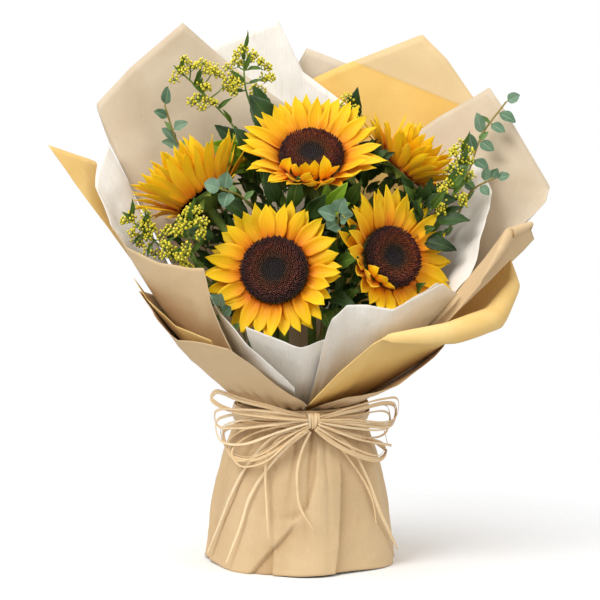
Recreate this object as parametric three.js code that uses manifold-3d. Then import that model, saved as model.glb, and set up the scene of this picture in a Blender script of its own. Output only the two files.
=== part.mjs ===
// A hand-tied bunch of sunflowers in layered wrapping papers with a raffia bow.
// Millimetres, +Z up. The bunch stands on its level-cut stem ends and on the hem
// of its flared paper skirt. Angles round the bunch are bearings in degrees:
// 0 is the front (-Y), 90 is the right side (+X), 180 is the back (+Y).
import * as THREE from 'three';
import { mergeVertices } from 'three/addons/utils/BufferGeometryUtils.js';
import Module from 'manifold-3d';

const wasm = await Module();
wasm.setup();

// ---------------------------------------------------------------- dimensions
const GAP = 0.32;                 // air left between pieces that touch

// binding
const TIE_HEIGHT = 150;           // height of the tie above the stem ends
const STEM_LEAN = 0.3;            // sideways run of a spiralled stem per unit of height
const FLOWER_STEM_RADIUS = 4.5;
const FLOWER_STEM_RING = 13;      // radius of the ring of flower stems at the tie
const FILLER_STEM_RADIUS = 1.5;
const FILLER_STEM_RING = FLOWER_STEM_RING + FLOWER_STEM_RADIUS + 4;   // filler stems lie outside
const TWINE_RADIUS = 1.1;

// flower heads
const PETALS_PER_WHORL = 15;
const PETAL_THICKNESS = 1.2;
const PETAL_WIDTH = 17.5;
const PETAL_HOLE = 22;            // inner radius of the petals' common base
const WHORL_STEP = 3;             // back whorl sits this far behind the front one
const DISC_HEIGHT = 8.5;
const DISC_SEAT = 1.4;            // the disc's underside above the petals' base
const CALYX_RADIUS = 25;
const CALYX_DEPTH = 15;
const BRACTS = 8;
const BRACT_REACH = 49;           // tip radius of the green bracts on a full-size head
const BRACT_THICKNESS = 1.2;

// papers
const PAPER = 1.0;                // thickness of a wrapping paper with its crinkles
const PAPER_RINGS = FILLER_STEM_RING + FILLER_STEM_RADIUS + 11;   // innermost layer at the tie
const PAPER_PITCH = 2.0;          // step from one paper layer to the next at the tie
const PAPER_LAYERS = 13;          // number of the outermost layer, the innermost is 0
const PAPER_ROWS = 5;             // rows of facets up a paper, the first one in the tie
const PAPER_TUCK = 22;            // how far the papers reach down into the skirt below the tie

// skirt and the raffia band round its neck
const BAND_HEIGHT = 16;
const SKIRT_WALL = 2.0;
const SKIRT_HEM = 95;             // outer radius at the hem
const NECK_AIR = 1.5;             // room between the outermost paper and the neck's inside
const SKIRT_NECK = PAPER_RINGS + PAPER_LAYERS * PAPER_PITCH + PAPER / 2 + NECK_AIR + SKIRT_WALL;
const SKIRT_TOP = TIE_HEIGHT + BAND_HEIGHT / 2;
const PAPER_BREAK = SKIRT_TOP + 0.5;   // height where the papers start to flare
const SKIRT_PLEATS = 7;
const PLEAT_DEPTH = 3.2;          // rise and fall of the pleats at the hem

// raffia
const BAND_THICKNESS = 4.5;
const KNOT_WIDTH = 13;
const KNOT_HEIGHT = 17;
const KNOT_DEPTH = 13;
const STRAND_RADIUS = 1.6;
const LOOP_RADIUS = 2.2;
const LOOP_STEPS = 20;            // straight lengths in a loop's strand
const TAIL_STEPS = 16;

// greens
const LEAF_THICKNESS = 1.0;
const BUD_RADIUS = 4.2;
const SPRIG_STEPS = 14;           // straight lengths in a sprig's stem

// -------------------------------------------------------------------- colours
const YELLOW = 0xfbc00f;
const SEED_BROWN = 0x42180c;
const STEM_GREEN = 0x6f8a3a;
const LEAF_GREEN = 0x3f6127;
const FRESH_GREEN = 0x6fa02c;
const BLUE_GREEN = 0x7f9c86;
const BUD_YELLOW = 0xcdbb32;
const KRAFT = 0xcfae7f;
const TAUPE = 0xcbb89c;
const GOLD = 0xdfac42;
const TISSUE = 0xe6dfd2;
const RAFFIA = 0xdfc08e;
const TWINE = 0x9a8a5c;

// -------------------------------------------------------------------- helpers
const rad = THREE.MathUtils.degToRad;
const lerp = THREE.MathUtils.lerp;
const V = (x, y, z) => new THREE.Vector3(x, y, z);
// a place given by its height above the tie
const A = (x, y, up) => new THREE.Vector3(x, y, TIE_HEIGHT + up);

// a repeatable value in 0..1 for the nth variation of something
function vary(seed, n) {
  const x = Math.sin(seed * 127.1 + n * 311.7) * 43758.5453;
  return x - Math.floor(x);
}

// point at a bearing and a radius
function around(bearing, radius, z) {
  return V(radius * Math.sin(rad(bearing)), -radius * Math.cos(rad(bearing)), z);
}

// geometry -> solid
function solid(geometry) {
  const g = geometry.index ? geometry.toNonIndexed() : geometry.clone();
  g.deleteAttribute('normal');
  g.deleteAttribute('uv');
  g.clearGroups();
  const m = mergeVertices(g, 1e-4);
  return new wasm.Manifold(new wasm.Mesh({
    numProp: 3,
    vertProperties: new Float32Array(m.attributes.position.array),
    triVerts: new Uint32Array(m.index.array),
  }));
}

// solid -> geometry
function geometryOf(made) {
  const mesh = made.getMesh();
  const g = new THREE.BufferGeometry();
  g.setAttribute('position', new THREE.BufferAttribute(new Float32Array(mesh.vertProperties), 3));
  g.setIndex(new THREE.BufferAttribute(new Uint32Array(mesh.triVerts), 1));
  g.computeVertexNormals();
  return g;
}

// moves every vertex of a geometry through a function of its place
function shaped(geometry, place) {
  const p = geometry.attributes.position;
  const v = new THREE.Vector3();
  for (let i = 0; i < p.count; i += 1) {
    v.fromBufferAttribute(p, i);
    const q = place(v);
    p.setXYZ(i, q.x, q.y, q.z);
  }
  return geometry;
}

function turned(geometry) {
  const g = geometry.index ? geometry.toNonIndexed() : geometry;
  const p = g.attributes.position;
  for (let i = 0; i < p.count; i += 3) {
    const a = V(p.getX(i + 1), p.getY(i + 1), p.getZ(i + 1));
    p.setXYZ(i + 1, p.getX(i + 2), p.getY(i + 2), p.getZ(i + 2));
    p.setXYZ(i + 2, a.x, a.y, a.z);
  }
  return g;
}

// a closed body with its faces pointing out, whichever way they came
function outward(geometry) {
  const made = solid(geometry);
  return made.volume() < 0 ? solid(turned(geometry)) : made;
}

// a round bar along a list of points
function bar(points, radius, sides, steps, grow = 0) {
  const shape = new THREE.Shape();
  for (let i = 0; i < sides; i += 1) {
    const a = (i / sides) * Math.PI * 2;
    const x = (radius + grow) * Math.cos(a);
    const y = (radius + grow) * Math.sin(a);
    if (i === 0) shape.moveTo(x, y);
    else shape.lineTo(x, y);
  }
  shape.closePath();
  const run = points.map((p) => p.clone());
  if (grow > 0) {
    const n = run.length - 1;
    run[0].add(run[0].clone().sub(run[1]).setLength(grow));
    run[n].add(run[n].clone().sub(run[n - 1]).setLength(grow));
  }
  const path = run.length === 2
    ? new THREE.LineCurve3(run[0], run[1])
    : new THREE.CatmullRomCurve3(run, false, 'centripetal');
  return outward(new THREE.ExtrudeGeometry(shape, { steps, extrudePath: path, bevelEnabled: false }));
}

// frame of a flower or leaf: its local +Z goes to the normal, its +Y to the upper side
function frameOf(place, normal) {
  const z = normal.clone().normalize();
  const side = V(0, 0, 1).cross(z);
  const x = side.lengthSq() < 1e-6 ? V(1, 0, 0) : side.normalize();
  const y = z.clone().cross(x);
  const m = new THREE.Matrix4().makeBasis(x, y, z);
  m.setPosition(place);
  return m;
}

function moved(made, matrix) {
  return made.transform(matrix.elements);
}

// -------------------------------------------------------------- flower heads
// size: scale of the head; disc: radius of the seed disc; reach: radius at the petal tips
// cup: degrees that petals rise out of the head's plane; cupMore: extra towards cupSide,
// a direction in the head's plane in degrees from its right (90 is its upper side)
const FLOWERS = [
  {
    key: 'top', at: A(10, -10, 251), face: V(0.03, -0.72, 0.69), disc: 31, reach: 75,
    cup: 33, cupMore: 6, cupSide: -90, stemTurn: 5, seed: 3,
  },
  {
    key: 'low', at: A(-25, -75, 145), face: V(-0.12, -0.94, 0.30), disc: 32, reach: 69,
    cup: 10, cupMore: 3, cupSide: -60, stemTurn: 160, seed: 11,
  },
  {
    key: 'right', at: A(86, -45, 155), face: V(0.45, -0.83, 0.30), disc: 30, reach: 72,
    cup: 20, cupMore: 21, cupSide: 180, stemTurn: -118, seed: 23,
  },
  {
    key: 'left', at: A(-98, -10, 214), face: V(-0.56, 0.24, 0.79), disc: 28, reach: 76,
    cup: 46, cupMore: 10, cupSide: 0, stemTurn: 85, seed: 31,
  },
  {
    key: 'back', at: A(101, 30, 239), face: V(0.64, 0.06, 0.76), disc: 24, reach: 66,
    cup: 38, cupMore: 4, cupSide: 0, stemTurn: -60, seed: 47,
  },
];

// lift of petal number i above the head's plane, in radians
function petalLift(f, angle, back, n) {
  const side = f.cupMore * Math.cos(angle - rad(f.cupSide));
  const own = (vary(f.seed + back, n) - 0.5) * 5;
  return rad(f.cup + side + own - back * 6);
}

// one whorl of pointed petals that grow from a common base ring
function whorl(f, back, grow) {
  const n = PETALS_PER_WHORL;
  const pitch = (Math.PI * 2) / n;
  const hole = (PETAL_HOLE / 31) * f.disc;
  const root = f.disc + 1.5;
  const shape = new THREE.Shape();
  const tips = [];
  for (let i = 0; i < n; i += 1) {
    const jitter = (vary(f.seed + 5 * back, i + 40) - 0.5) * 0.12 * pitch;
    const a = (i + 0.5 * back) * pitch + jitter;
    const reach = f.reach * (0.93 + 0.09 * vary(f.seed + back, i + 80)) * (back ? 0.98 : 1);
    const wide = root + (reach - root) * 0.42;
    const half = Math.min(Math.asin(PETAL_WIDTH * (f.disc / 31) / 2 / wide), pitch * 0.43) + grow / wide;
    const valley = (i - 0.5 + 0.5 * back) * pitch;
    const corner = [
      [root + grow, valley],
      [wide, a - half],
      [reach + grow, a],
      [wide, a + half],
    ];
    corner.forEach(([r, t], k) => {
      const x = r * Math.cos(t);
      const y = r * Math.sin(t);
      if (i === 0 && k === 0) shape.moveTo(x, y);
      else shape.lineTo(x, y);
    });
    tips.push(a);
  }
  shape.closePath();
  const inner = new THREE.Path();
  for (let i = 0; i < 8; i += 1) {
    const a = -(i / 8) * Math.PI * 2;
    const r = hole - grow;
    if (i === 0) inner.moveTo(r * Math.cos(a), r * Math.sin(a));
    else inner.lineTo(r * Math.cos(a), r * Math.sin(a));
  }
  inner.closePath();
  shape.holes.push(inner);
  const thick = PETAL_THICKNESS + 2 * grow;
  const g = new THREE.ExtrudeGeometry(shape, { depth: thick, bevelEnabled: false, curveSegments: 1 });
  const low = -back * WHORL_STEP - grow;
  return outward(shaped(g, (p) => {
    const r = Math.hypot(p.x, p.y);
    const t = Math.atan2(p.y, p.x);
    let near = 0;
    let best = 9;
    tips.forEach((a, i) => {
      const d = Math.abs(Math.atan2(Math.sin(t - a), Math.cos(t - a)));
      if (d < best) {
        best = d;
        near = i;
      }
    });
    const lift = petalLift(f, tips[near], back, near);
    const run = Math.max(r - root - 1, 0);
    const z = low + p.z;
    const out = Math.min(r, root + 1) + run * Math.cos(lift);
    return V(out * Math.cos(t), out * Math.sin(t), z + run * Math.sin(lift));
  }));
}

function petals(f, grow = 0) {
  const r = (PETAL_HOLE / 31) * f.disc;
  const collar = new THREE.LatheGeometry([
    [r + 0.8, -WHORL_STEP + 0.5], [r + 3.2, -WHORL_STEP + 0.5], [r + 3.2, 0.5], [r + 0.8, 0.5],
    [r + 0.8, -WHORL_STEP + 0.5],
  ].map(([x, y]) => new THREE.Vector2(x, y)), 8);
  collar.rotateX(Math.PI / 2);
  const both = whorl(f, 0, grow).add(whorl(f, 1, grow)).add(outward(collar));
  return moved(both, frameOf(f.at, f.face));
}

// seed disc: a low dome, dished in the middle, seated on the petals' base
function disc(f, grow = 0) {
  const low = PETAL_THICKNESS + GAP + DISC_SEAT - grow;
  const r = f.disc + grow;
  const high = low + DISC_HEIGHT * (f.disc / 31) + 2 * grow;
  const profile = [
    [0, low], [r * 0.7, low], [r, low + 3.6], [r * 0.8, high], [r * 0.42, high - 0.6],
    [0, high - 2.2],
  ].map(([x, y]) => new THREE.Vector2(x, y));
  const g = new THREE.LatheGeometry(profile, 16);
  g.rotateX(Math.PI / 2);
  return moved(outward(g), frameOf(f.at, f.face));
}

// the straight, spiralled part of a stem through the tie
function spiral(turn, ring, z) {
  const up = z - TIE_HEIGHT;
  return V(
    ring * Math.cos(rad(turn)) - STEM_LEAN * up * Math.sin(rad(turn)),
    ring * Math.sin(rad(turn)) + STEM_LEAN * up * Math.cos(rad(turn)),
    z,
  );
}

function cutLevel(made) {
  const block = new THREE.BoxGeometry(400, 400, 60);
  block.translate(0, 0, -30);
  return made.subtract(solid(block));
}

// stem with the calyx and its bracts behind the head
function stem(f, grow = 0) {
  const size = f.disc / 31;
  const n = f.face.clone().normalize();
  const top = -WHORL_STEP - GAP + grow;
  const back = top - CALYX_DEPTH * size;
  const rc = CALYX_RADIUS * size + grow;
  const rs = FLOWER_STEM_RADIUS + grow;
  const cup = new THREE.LatheGeometry([
    [0, top], [rc, top], [rc * 0.9, top - 5 * size], [rs + 1, back], [0, back],
  ].map(([x, y]) => new THREE.Vector2(x, y)), 10);
  cup.rotateX(Math.PI / 2);
  const shape = new THREE.Shape();
  const pitch = (Math.PI * 2) / BRACTS;
  const from = rc * 0.7;
  for (let i = 0; i < BRACTS; i += 1) {
    const a = i * pitch;
    const reach = BRACT_REACH * size * (0.86 + 0.14 * vary(f.seed, i)) + grow;
    const half = pitch * 0.36;
    [[rc + 1, a - pitch / 2], [rc + 9 * size, a - half], [reach, a], [rc + 9 * size, a + half]]
      .forEach(([r, t], k) => {
        if (i === 0 && k === 0) shape.moveTo(r * Math.cos(t), r * Math.sin(t));
        else shape.lineTo(r * Math.cos(t), r * Math.sin(t));
      });
  }
  shape.closePath();
  const hole = new THREE.Path();
  for (let i = 0; i < 4; i += 1) {
    const a = (-i / 4) * Math.PI * 2;
    if (i === 0) hole.moveTo(from * Math.cos(a), from * Math.sin(a));
    else hole.lineTo(from * Math.cos(a), from * Math.sin(a));
  }
  hole.closePath();
  shape.holes.push(hole);
  const thick = BRACT_THICKNESS + 2 * grow;
  const star = new THREE.ExtrudeGeometry(shape, { depth: thick, bevelEnabled: false });
  shaped(star, (p) => {
    const r = Math.hypot(p.x, p.y);
    const run = Math.max(r - rc, 0);
    const tuck = run * 0.42;
    const k = (rc + Math.min(run, 99) * 0.9) / Math.max(r, 1e-6);
    const s = r > rc ? k : 1;
    return V(p.x * s, p.y * s, p.z + top - 4.2 * size - tuck - grow);
  });
  const at = frameOf(f.at, n);
  const head = moved(outward(cup).add(outward(star)), at);
  const start = f.at.clone().addScaledVector(n, back + 3);
  const leave = f.at.clone().addScaledVector(n, back - 14);
  const level = TIE_HEIGHT + 36;
  const low = [-6, TIE_HEIGHT * 0.5, TIE_HEIGHT, level].map((z) => spiral(f.stemTurn, FLOWER_STEM_RING, z));
  const bend = leave.clone().addScaledVector(n, -26);
  const points = [...low, bend, leave, start];
  return cutLevel(head.add(bar(points, FLOWER_STEM_RADIUS, 6, 11, grow)));
}

// --------------------------------------------------------------------- papers
// layer: place in the wrap at the first and the last column, 0 is the innermost
// columns, from one side edge to the other: bearing of the fold line at the tie,
// the point of the rim that it runs up to (x, y, height above the tie), and how far it
// bellies outwards
const PAPERS = [
  {
    name: 'wrap_taupe_back_left', layer: [7, 9], colour: TAUPE,
    columns: [
      [-95, -195, 62, 265, 4], [-101, -209, 70, 303, 5], [-114, -174, 88, 342, 9],
      [-130, -122, 106, 387, 12], [-150, -71, 110, 343, 10], [-180, 0, 106, 292, 4],
      [-197, 31, 98, 255, 3],
    ],
  },
  {
    name: 'tissue_back', layer: [11, 11], colour: TISSUE,
    columns: [
      [-142, -112, 124, 340, 12], [-152, -84, 126, 370, 12], [-170, -25, 132, 393, 8],
      [-184, 2, 124, 337, 6], [-200, 48, 112, 302, 4],
    ],
  },
  {
    name: 'wrap_gold_left', layer: [10, 12.5], colour: GOLD,
    columns: [
      [-84, -251, 8, 264, 5], [-92, -226, 24, 254, 6], [-99, -208, 42, 246, 9],
      [-110, -202, 86, 228, 10],
    ],
  },
  {
    name: 'tissue_left', layer: [5, 10], colour: TISSUE,
    columns: [
      [-70, -164, -22, 150, 3], [-76, -188, -10, 186, 3], [-83, -204, 3, 223, 5],
      [-89, -203, 16, 245, 6], [-97, -195, 34, 267, 7], [-106, -191, 60, 246, 7],
    ],
  },
  {
    name: 'wrap_taupe_peak', layer: [13, 13], colour: TAUPE,
    columns: [
      [184, -3, 148, 346, 11], [178, 6, 151, 362, 11], [161, 52, 150, 344, 11],
      [144, 107, 147, 318, 12],
    ],
  },
  {
    name: 'wrap_gold_back_right', layer: [12, 10], colour: GOLD,
    columns: [
      [176, 8, 138, 328, 9], [165, 40, 138, 342, 9], [142, 126, 128, 376, 8],
      [130, 152, 116, 349, 7], [121, 178, 101, 310, 6], [112, 189, 88, 267, 5],
    ],
  },
  {
    name: 'wrap_taupe_right', layer: [8.5, 5.5], colour: TAUPE,
    columns: [
      [128, 122, 100, 276, 6], [121, 149, 90, 296, 6], [110, 192, 72, 321, 5],
      [102, 206, 54, 298, 5], [92, 249, 22, 222, 4], [86, 243, 9, 209, 4],
      [78, 220, -8, 185, 6], [71, 200, -26, 159, 6],
    ],
  },
  {
    name: 'tissue_right', layer: [6, 4], colour: TISSUE,
    columns: [
      [112, 158, 62, 262, 4], [101, 180, 40, 243, 4], [90, 191, 12, 217, 6],
      [79, 181, -8, 195, 8], [68, 175, -28, 164, 8], [60, 165, -44, 136, 7],
    ],
  },
  {
    name: 'wrap_kraft_scroll_right', layer: [6, 9], colour: KRAFT,
    columns: [
      [60, 170, -100, 132, 11], [64, 186, -82, 164, 10], [68, 196, -60, 184, 9],
      [76, 222, -38, 189, 7], [83, 229, -16, 172, 6],
    ],
  },
  {
    name: 'wrap_gold_front_right', layer: [10, 8], colour: GOLD,
    columns: [
      [73, 204, -34, 153, 4], [66, 200, -62, 134, 6], [57, 176, -90, 110, 10],
      [46, 133, -112, 96, 12], [35, 81, -126, 89, 12], [27, 67, -129, 80, 12],
      [16, 36, -112, 52, 6], [5, 8, -80, 18, 1],
    ],
  },
  {
    name: 'wrap_kraft_front_right', layer: [12, 12], colour: KRAFT,
    columns: [
      [8, 26, -80, 18, 0], [22, 58, -92, 26, 1], [36, 92, -104, 40, 3],
      [48, 116, -98, 56, 4], [60, 138, -76, 72, 4], [76, 144, -38, 76, 5],
      [90, 140, 0, 72, 5], [104, 126, 26, 64, 4],
    ],
  },
  {
    name: 'wrap_kraft_front_left_upper', layer: [9, 9], colour: KRAFT,
    columns: [
      [-84, -186, -18, 185, 10], [-73, -169, -44, 167, 12], [-61, -136, -82, 153, 15],
      [-49, -106, -108, 151, 18], [-41, -91, -119, 152, 18], [-31, -84, -121, 120, 14],
      [-20, -71, -120, 77, 8], [-8, -34, -98, 40, 2],
    ],
  },
  {
    name: 'wrap_kraft_front_left_lower', layer: [13, 13], colour: KRAFT,
    columns: [
      [-92, -142, 6, 112, 4], [-76, -158, -42, 123, 5], [-63, -141, -78, 103, 6],
      [-50, -116, -104, 83, 7], [-38, -82, -124, 78, 8], [-30, -69, -129, 77, 8],
      [-18, -38, -114, 53, 5], [-8, -10, -94, 28, 2], [2, 5, -80, 14, 0],
    ],
  },
  {
    name: 'wrap_gold_sliver_left', layer: [11, 11], colour: GOLD,
    columns: [
      [-80, -164, -32, 135, 5], [-66, -149, -66, 118, 6], [-51, -120, -98, 95, 7],
      [-38, -85, -118, 83, 8],
    ],
  },
  {
    name: 'tissue_front', layer: [3, 3], colour: TISSUE,
    columns: [
      [-38, -52, -100, 95, 4], [-27, -36, -107, 87, 4], [-4, 0, -111, 76, 3],
      [12, 28, -109, 84, 2], [34, 72, -104, 99, 3], [58, 132, -72, 133, 2],
      [68, 146, -50, 120, 2],
    ],
  },
  {
    name: 'tissue_front_flap', layer: [5, 5], colour: TISSUE,
    columns: [
      [6, 22, -120, 79, 7], [13, 29, -120, 104, 11], [20, 43, -121, 117, 14],
      [30, 62, -122, 117, 14], [40, 87, -117, 112, 14], [56, 134, -92, 136, 10],
      [64, 151, -74, 122, 7],
    ],
  },
  {
    name: 'tissue_front_left', layer: [6, 6], colour: TISSUE,
    columns: [
      [-60, -92, -90, 134, 5], [-48, -77, -105, 108, 6], [-34, -54, -119, 82, 6],
      [-20, -26, -116, 58, 4], [-8, -6, -101, 36, 1],
    ],
  },
];

// a point of a paper: s from 0 to 1 across it, t from 0 at its foot to 1 at its rim
function paperPoint(sheet, s, t) {
  const c = sheet.columns;
  const k = THREE.MathUtils.clamp(s * (c.length - 1), -0.2, c.length - 0.8);
  const i = THREE.MathUtils.clamp(Math.floor(k), 0, c.length - 2);
  const f = k - i;
  const [bearing, x, y, z, belly] = c[i].map((v, j) => lerp(v, c[i + 1][j], f));
  const ring = PAPER_RINGS + PAPER_PITCH * lerp(...sheet.layer, s);
  const low = around(bearing, ring, PAPER_BREAK);
  const split = 1 / PAPER_ROWS;
  if (t <= split) return V(low.x, low.y, lerp(TIE_HEIGHT - PAPER_TUCK, PAPER_BREAK, t / split));
  const q = (t - split) / (1 - split);
  const rim = A(x, y, z);
  const middle = low.clone().add(rim).multiplyScalar(0.5);
  const outwards = V(middle.x, middle.y, 0).normalize();
  middle.addScaledVector(outwards, 2 * belly);
  return low.multiplyScalar((1 - q) * (1 - q))
    .addScaledVector(middle, 2 * q * (1 - q))
    .addScaledVector(rim, q * q);
}

// splits the back skin of a flat box along the same diagonals as its front skin,
// so that a twisted stretch of it keeps its thickness
function matchSkins(box) {
  const back = box.groups[5];
  const index = box.index;
  for (let i = back.start; i < back.start + back.count; i += 6) {
    const a = index.getX(i);
    const c = index.getX(i + 4);
    index.setX(i + 2, c);
    index.setX(i + 3, a);
  }
  return box;
}

function paper(sheet, grow = 0) {
  const across = (sheet.columns.length - 1) * (sheet.columns.length < 7 ? 2 : 1);
  const g = matchSkins(new THREE.BoxGeometry(1, 1, 1, across, PAPER_ROWS, 1));
  const e = 0.004;
  const spread = grow > 0 ? 1 + 0.01 : 1;
  return outward(shaped(g, (p) => {
    const s = p.x * spread + 0.5;
    const t = (p.y + 0.5) * spread;
    const here = paperPoint(sheet, s, t);
    const along = paperPoint(sheet, s + e, t).sub(paperPoint(sheet, s - e, t));
    const up = paperPoint(sheet, s, t + e).sub(paperPoint(sheet, s, t - e));
    const normal = along.cross(up).normalize();
    return here.addScaledVector(normal, p.z * (PAPER + 2 * grow));
  }));
}

// skirt: outer radius at a bearing and a height
function skirtRadius(bearing, z) {
  const t = THREE.MathUtils.clamp(z / (TIE_HEIGHT - BAND_HEIGHT / 2 - 1), 0, 1);
  const flare = SKIRT_HEM + (SKIRT_NECK - SKIRT_HEM) * (0.42 * t + 0.58 * t * t * t);
  const wave = Math.sin(rad(bearing) * SKIRT_PLEATS + 0.6) + 0.5 * Math.sin(rad(bearing) * 4 + 2);
  return flare + PLEAT_DEPTH * 0.7 * wave * (1 - t) ** 0.6;
}

function skirt(grow = 0) {
  const neck = TIE_HEIGHT - BAND_HEIGHT / 2 - 1;
  const levels = [0, 0.28 * neck, 0.57 * neck, 0.82 * neck, neck, SKIRT_TOP];
  const outer = levels.map((z) => [1, z]);
  const inner = [levels[0], levels[2], levels[4], levels[5]].map((z) => [0, z]).reverse();
  const loop = [...outer, ...inner, outer[0]].map(([k, z]) => new THREE.Vector2(10 + k, z));
  const g = new THREE.LatheGeometry(loop, 36);
  g.rotateX(Math.PI / 2);
  return outward(shaped(g, (p) => {
    const side = Math.hypot(p.x, p.y) > 10.5 ? grow : -SKIRT_WALL - grow;
    const bearing = THREE.MathUtils.radToDeg(Math.atan2(p.x, -p.y));
    const end = p.z < 1 ? -grow : 0;
    const top = p.z > SKIRT_TOP - 1 ? grow : 0;
    return around(bearing, skirtRadius(bearing, p.z) + side, p.z + end + top);
  }));
}

// --------------------------------------------------------------------- raffia
function ringBody(inner, outer, low, high, segments, grow = 0) {
  const c = 0.2 * (outer - inner);
  const a = inner - grow;
  const b = outer + grow;
  const l = low - grow;
  const h = high + grow;
  const g = new THREE.LatheGeometry([
    [a, l], [b - c, l], [b, (l + h) / 2], [b - c, h], [a, h], [a, l],
  ].map(([x, y]) => new THREE.Vector2(x, y)), segments);
  g.rotateX(Math.PI / 2);
  return outward(g);
}

const NECK_OUT = SKIRT_NECK + GAP + 0.6;
const BAND_OUT = NECK_OUT + BAND_THICKNESS;

function band(grow = 0) {
  const half = BAND_HEIGHT / 2;
  return ringBody(NECK_OUT, BAND_OUT, TIE_HEIGHT - half, TIE_HEIGHT + half, 36, grow);
}

const KNOT_BEARING = 9;
const KNOT_AT = around(KNOT_BEARING, BAND_OUT + KNOT_DEPTH / 2 + GAP, TIE_HEIGHT);

function knot(grow = 0) {
  const g = new THREE.SphereGeometry(0.5, 10, 7);
  g.scale(KNOT_WIDTH + 2 * grow, KNOT_DEPTH + 2 * grow, KNOT_HEIGHT + 2 * grow);
  g.rotateZ(rad(KNOT_BEARING));
  g.translate(KNOT_AT.x, KNOT_AT.y, KNOT_AT.z);
  return outward(g);
}

// a place in front of the skirt: sideways, height, and how far it stands off the paper
function onSkirt(x, z, off) {
  let bearing = 0;
  let r = SKIRT_HEM;
  for (let i = 0; i < 8; i += 1) {
    r = Math.max(skirtRadius(bearing, z), z > TIE_HEIGHT - BAND_HEIGHT ? BAND_OUT : 0) + off;
    bearing = THREE.MathUtils.radToDeg(Math.asin(THREE.MathUtils.clamp(x / r, -0.98, 0.98)));
  }
  return around(bearing, r, z);
}

// sideways place, height above the tie and stand-off of points along each strand, from the knot out
const LOOPS = [
  {
    name: 'raffia_loop_left_upper',
    run: [
      [8, 2, 8], [-25, 13, 18], [-58, 20, 22], [-84, 23, 22], [-88, 16, 24], [-66, 8, 24],
      [-25, 4, 20], [6, 1, 13],
    ],
  },
  {
    name: 'raffia_loop_left_lower',
    run: [
      [8, -3, 6], [-30, -4, 8], [-66, -10, 10], [-77, -19, 12], [-66, -38, 14], [-42, -37, 14],
      [-14, -22, 12], [7, -6, 10],
    ],
  },
  {
    name: 'raffia_loop_right_upper',
    run: [
      [14, 2, 8], [50, 10, 17], [84, 12, 22], [104, 5, 26], [104, -9, 24], [84, -11, 22],
      [50, -3, 17], [17, 0, 12],
    ],
  },
  {
    name: 'raffia_loop_right_lower',
    run: [
      [13, -4, 6], [48, -14, 8], [74, -28, 8], [84, -38, 10], [74, -42, 13], [50, -33, 13],
      [26, -18, 12], [14, -7, 11],
    ],
  },
];
const TAILS = [
  {
    name: 'raffia_tail_1',
    run: [
      [4, -7, 10], [-24, -16, 6], [-46, -37, 4], [-63, -64, 4], [-80, -106, 4],
      [-93, -140, 4.5],
    ],
  },
  {
    name: 'raffia_tail_2',
    run: [
      [8, -9, 9], [-12, -25, 5], [-31, -46, 3.6], [-49, -74, 3.6], [-58, -102, 3.6],
      [-73, -142, 3.6],
    ],
  },
  {
    name: 'raffia_tail_3',
    run: [
      [5, -9, 13], [-20, -16, 10], [-33, -32, 7], [-35, -54, 6], [-33, -86, 6], [-31, -112, 6],
    ],
  },
  {
    name: 'raffia_tail_4',
    run: [
      [9, -10, 9], [2, -26, 4.4], [-3, -46, 3.6], [-3, -66, 3.6], [0, -82, 3.6],
      [13, -104, 3.6],
    ],
  },
  {
    name: 'raffia_tail_5',
    run: [
      [14, -9, 9], [32, -22, 4.6], [52, -47, 3.6], [64, -66, 3.6], [71, -84, 3.6],
      [74, -104, 3.6],
    ],
  },
  {
    name: 'raffia_tail_6',
    run: [
      [17, -6, 13], [46, -25, 7], [64, -58, 4.6], [76, -90, 4.6], [89, -120, 4.6],
      [104, -138, 4.6],
    ],
  },
];

function strand(run, radius, steps, grow) {
  return bar(run.map(([x, up, off]) => onSkirt(x, TIE_HEIGHT + up, off)), radius, 8, steps, grow);
}

// --------------------------------------------------------------------- greens
// a leaf blade from its base towards a direction, folded a little along its midrib
function leaf(base, towards, up, length, width, grow = 0, tip = 1) {
  const w = width / 2 + grow;
  const l = length + grow;
  const outline = tip
    ? [
      [0, -0.14], [0.22, -0.78], [0.45, -1], [0.75, -0.55], [1, 0], [0.75, 0.55], [0.45, 1],
      [0.22, 0.78], [0, 0.14],
    ]
    : [[0, -0.2], [0.4, -1], [0.82, -0.7], [1, 0], [0.82, 0.7], [0.4, 1], [0, 0.2]];
  const shape = new THREE.Shape(outline.map(([a, b]) => new THREE.Vector2(a * l - grow, b * w)));
  const thick = LEAF_THICKNESS + 2 * grow;
  const g = new THREE.ExtrudeGeometry(shape, { depth: thick, bevelEnabled: false });
  shaped(g, (p) => V(
    p.x,
    p.y,
    p.z - thick / 2 + 0.3 * Math.abs(p.y) - 0.1 * (p.x * p.x) / Math.max(length, 1),
  ));
  const x = towards.clone().normalize();
  const z = up.clone().addScaledVector(x, -up.dot(x)).normalize();
  const y = z.clone().cross(x);
  const m = new THREE.Matrix4().makeBasis(x, y, z);
  m.setPosition(base);
  return moved(outward(g), m);
}

// the run of a filler sprig's stem: spiralled through the tie and then up through the points
function fillerRun(turn, points) {
  const low = [-6, TIE_HEIGHT * 0.5, TIE_HEIGHT, TIE_HEIGHT + 34]
    .map((z) => spiral(turn, FILLER_STEM_RING, z));
  return [...low, ...points];
}

function fillerStem(kind, grow) {
  return cutLevel(bar(fillerRun(kind.turn, kind.stem), FILLER_STEM_RADIUS, 5, SPRIG_STEPS, grow));
}

// the joints of the faceted stem, and the place on it nearest to a point
function stemLine(kind) {
  const curve = new THREE.CatmullRomCurve3(fillerRun(kind.turn, kind.stem), false, 'centripetal');
  return curve.getSpacedPoints(SPRIG_STEPS);
}

function nearestOn(line, p) {
  let best = null;
  for (let i = 0; i < line.length - 1; i += 1) {
    const q = new THREE.Line3(line[i], line[i + 1]).closestPointToPoint(p, true, new THREE.Vector3());
    if (!best || q.distanceTo(p) < best.distanceTo(p)) best = q;
  }
  return best;
}

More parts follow.
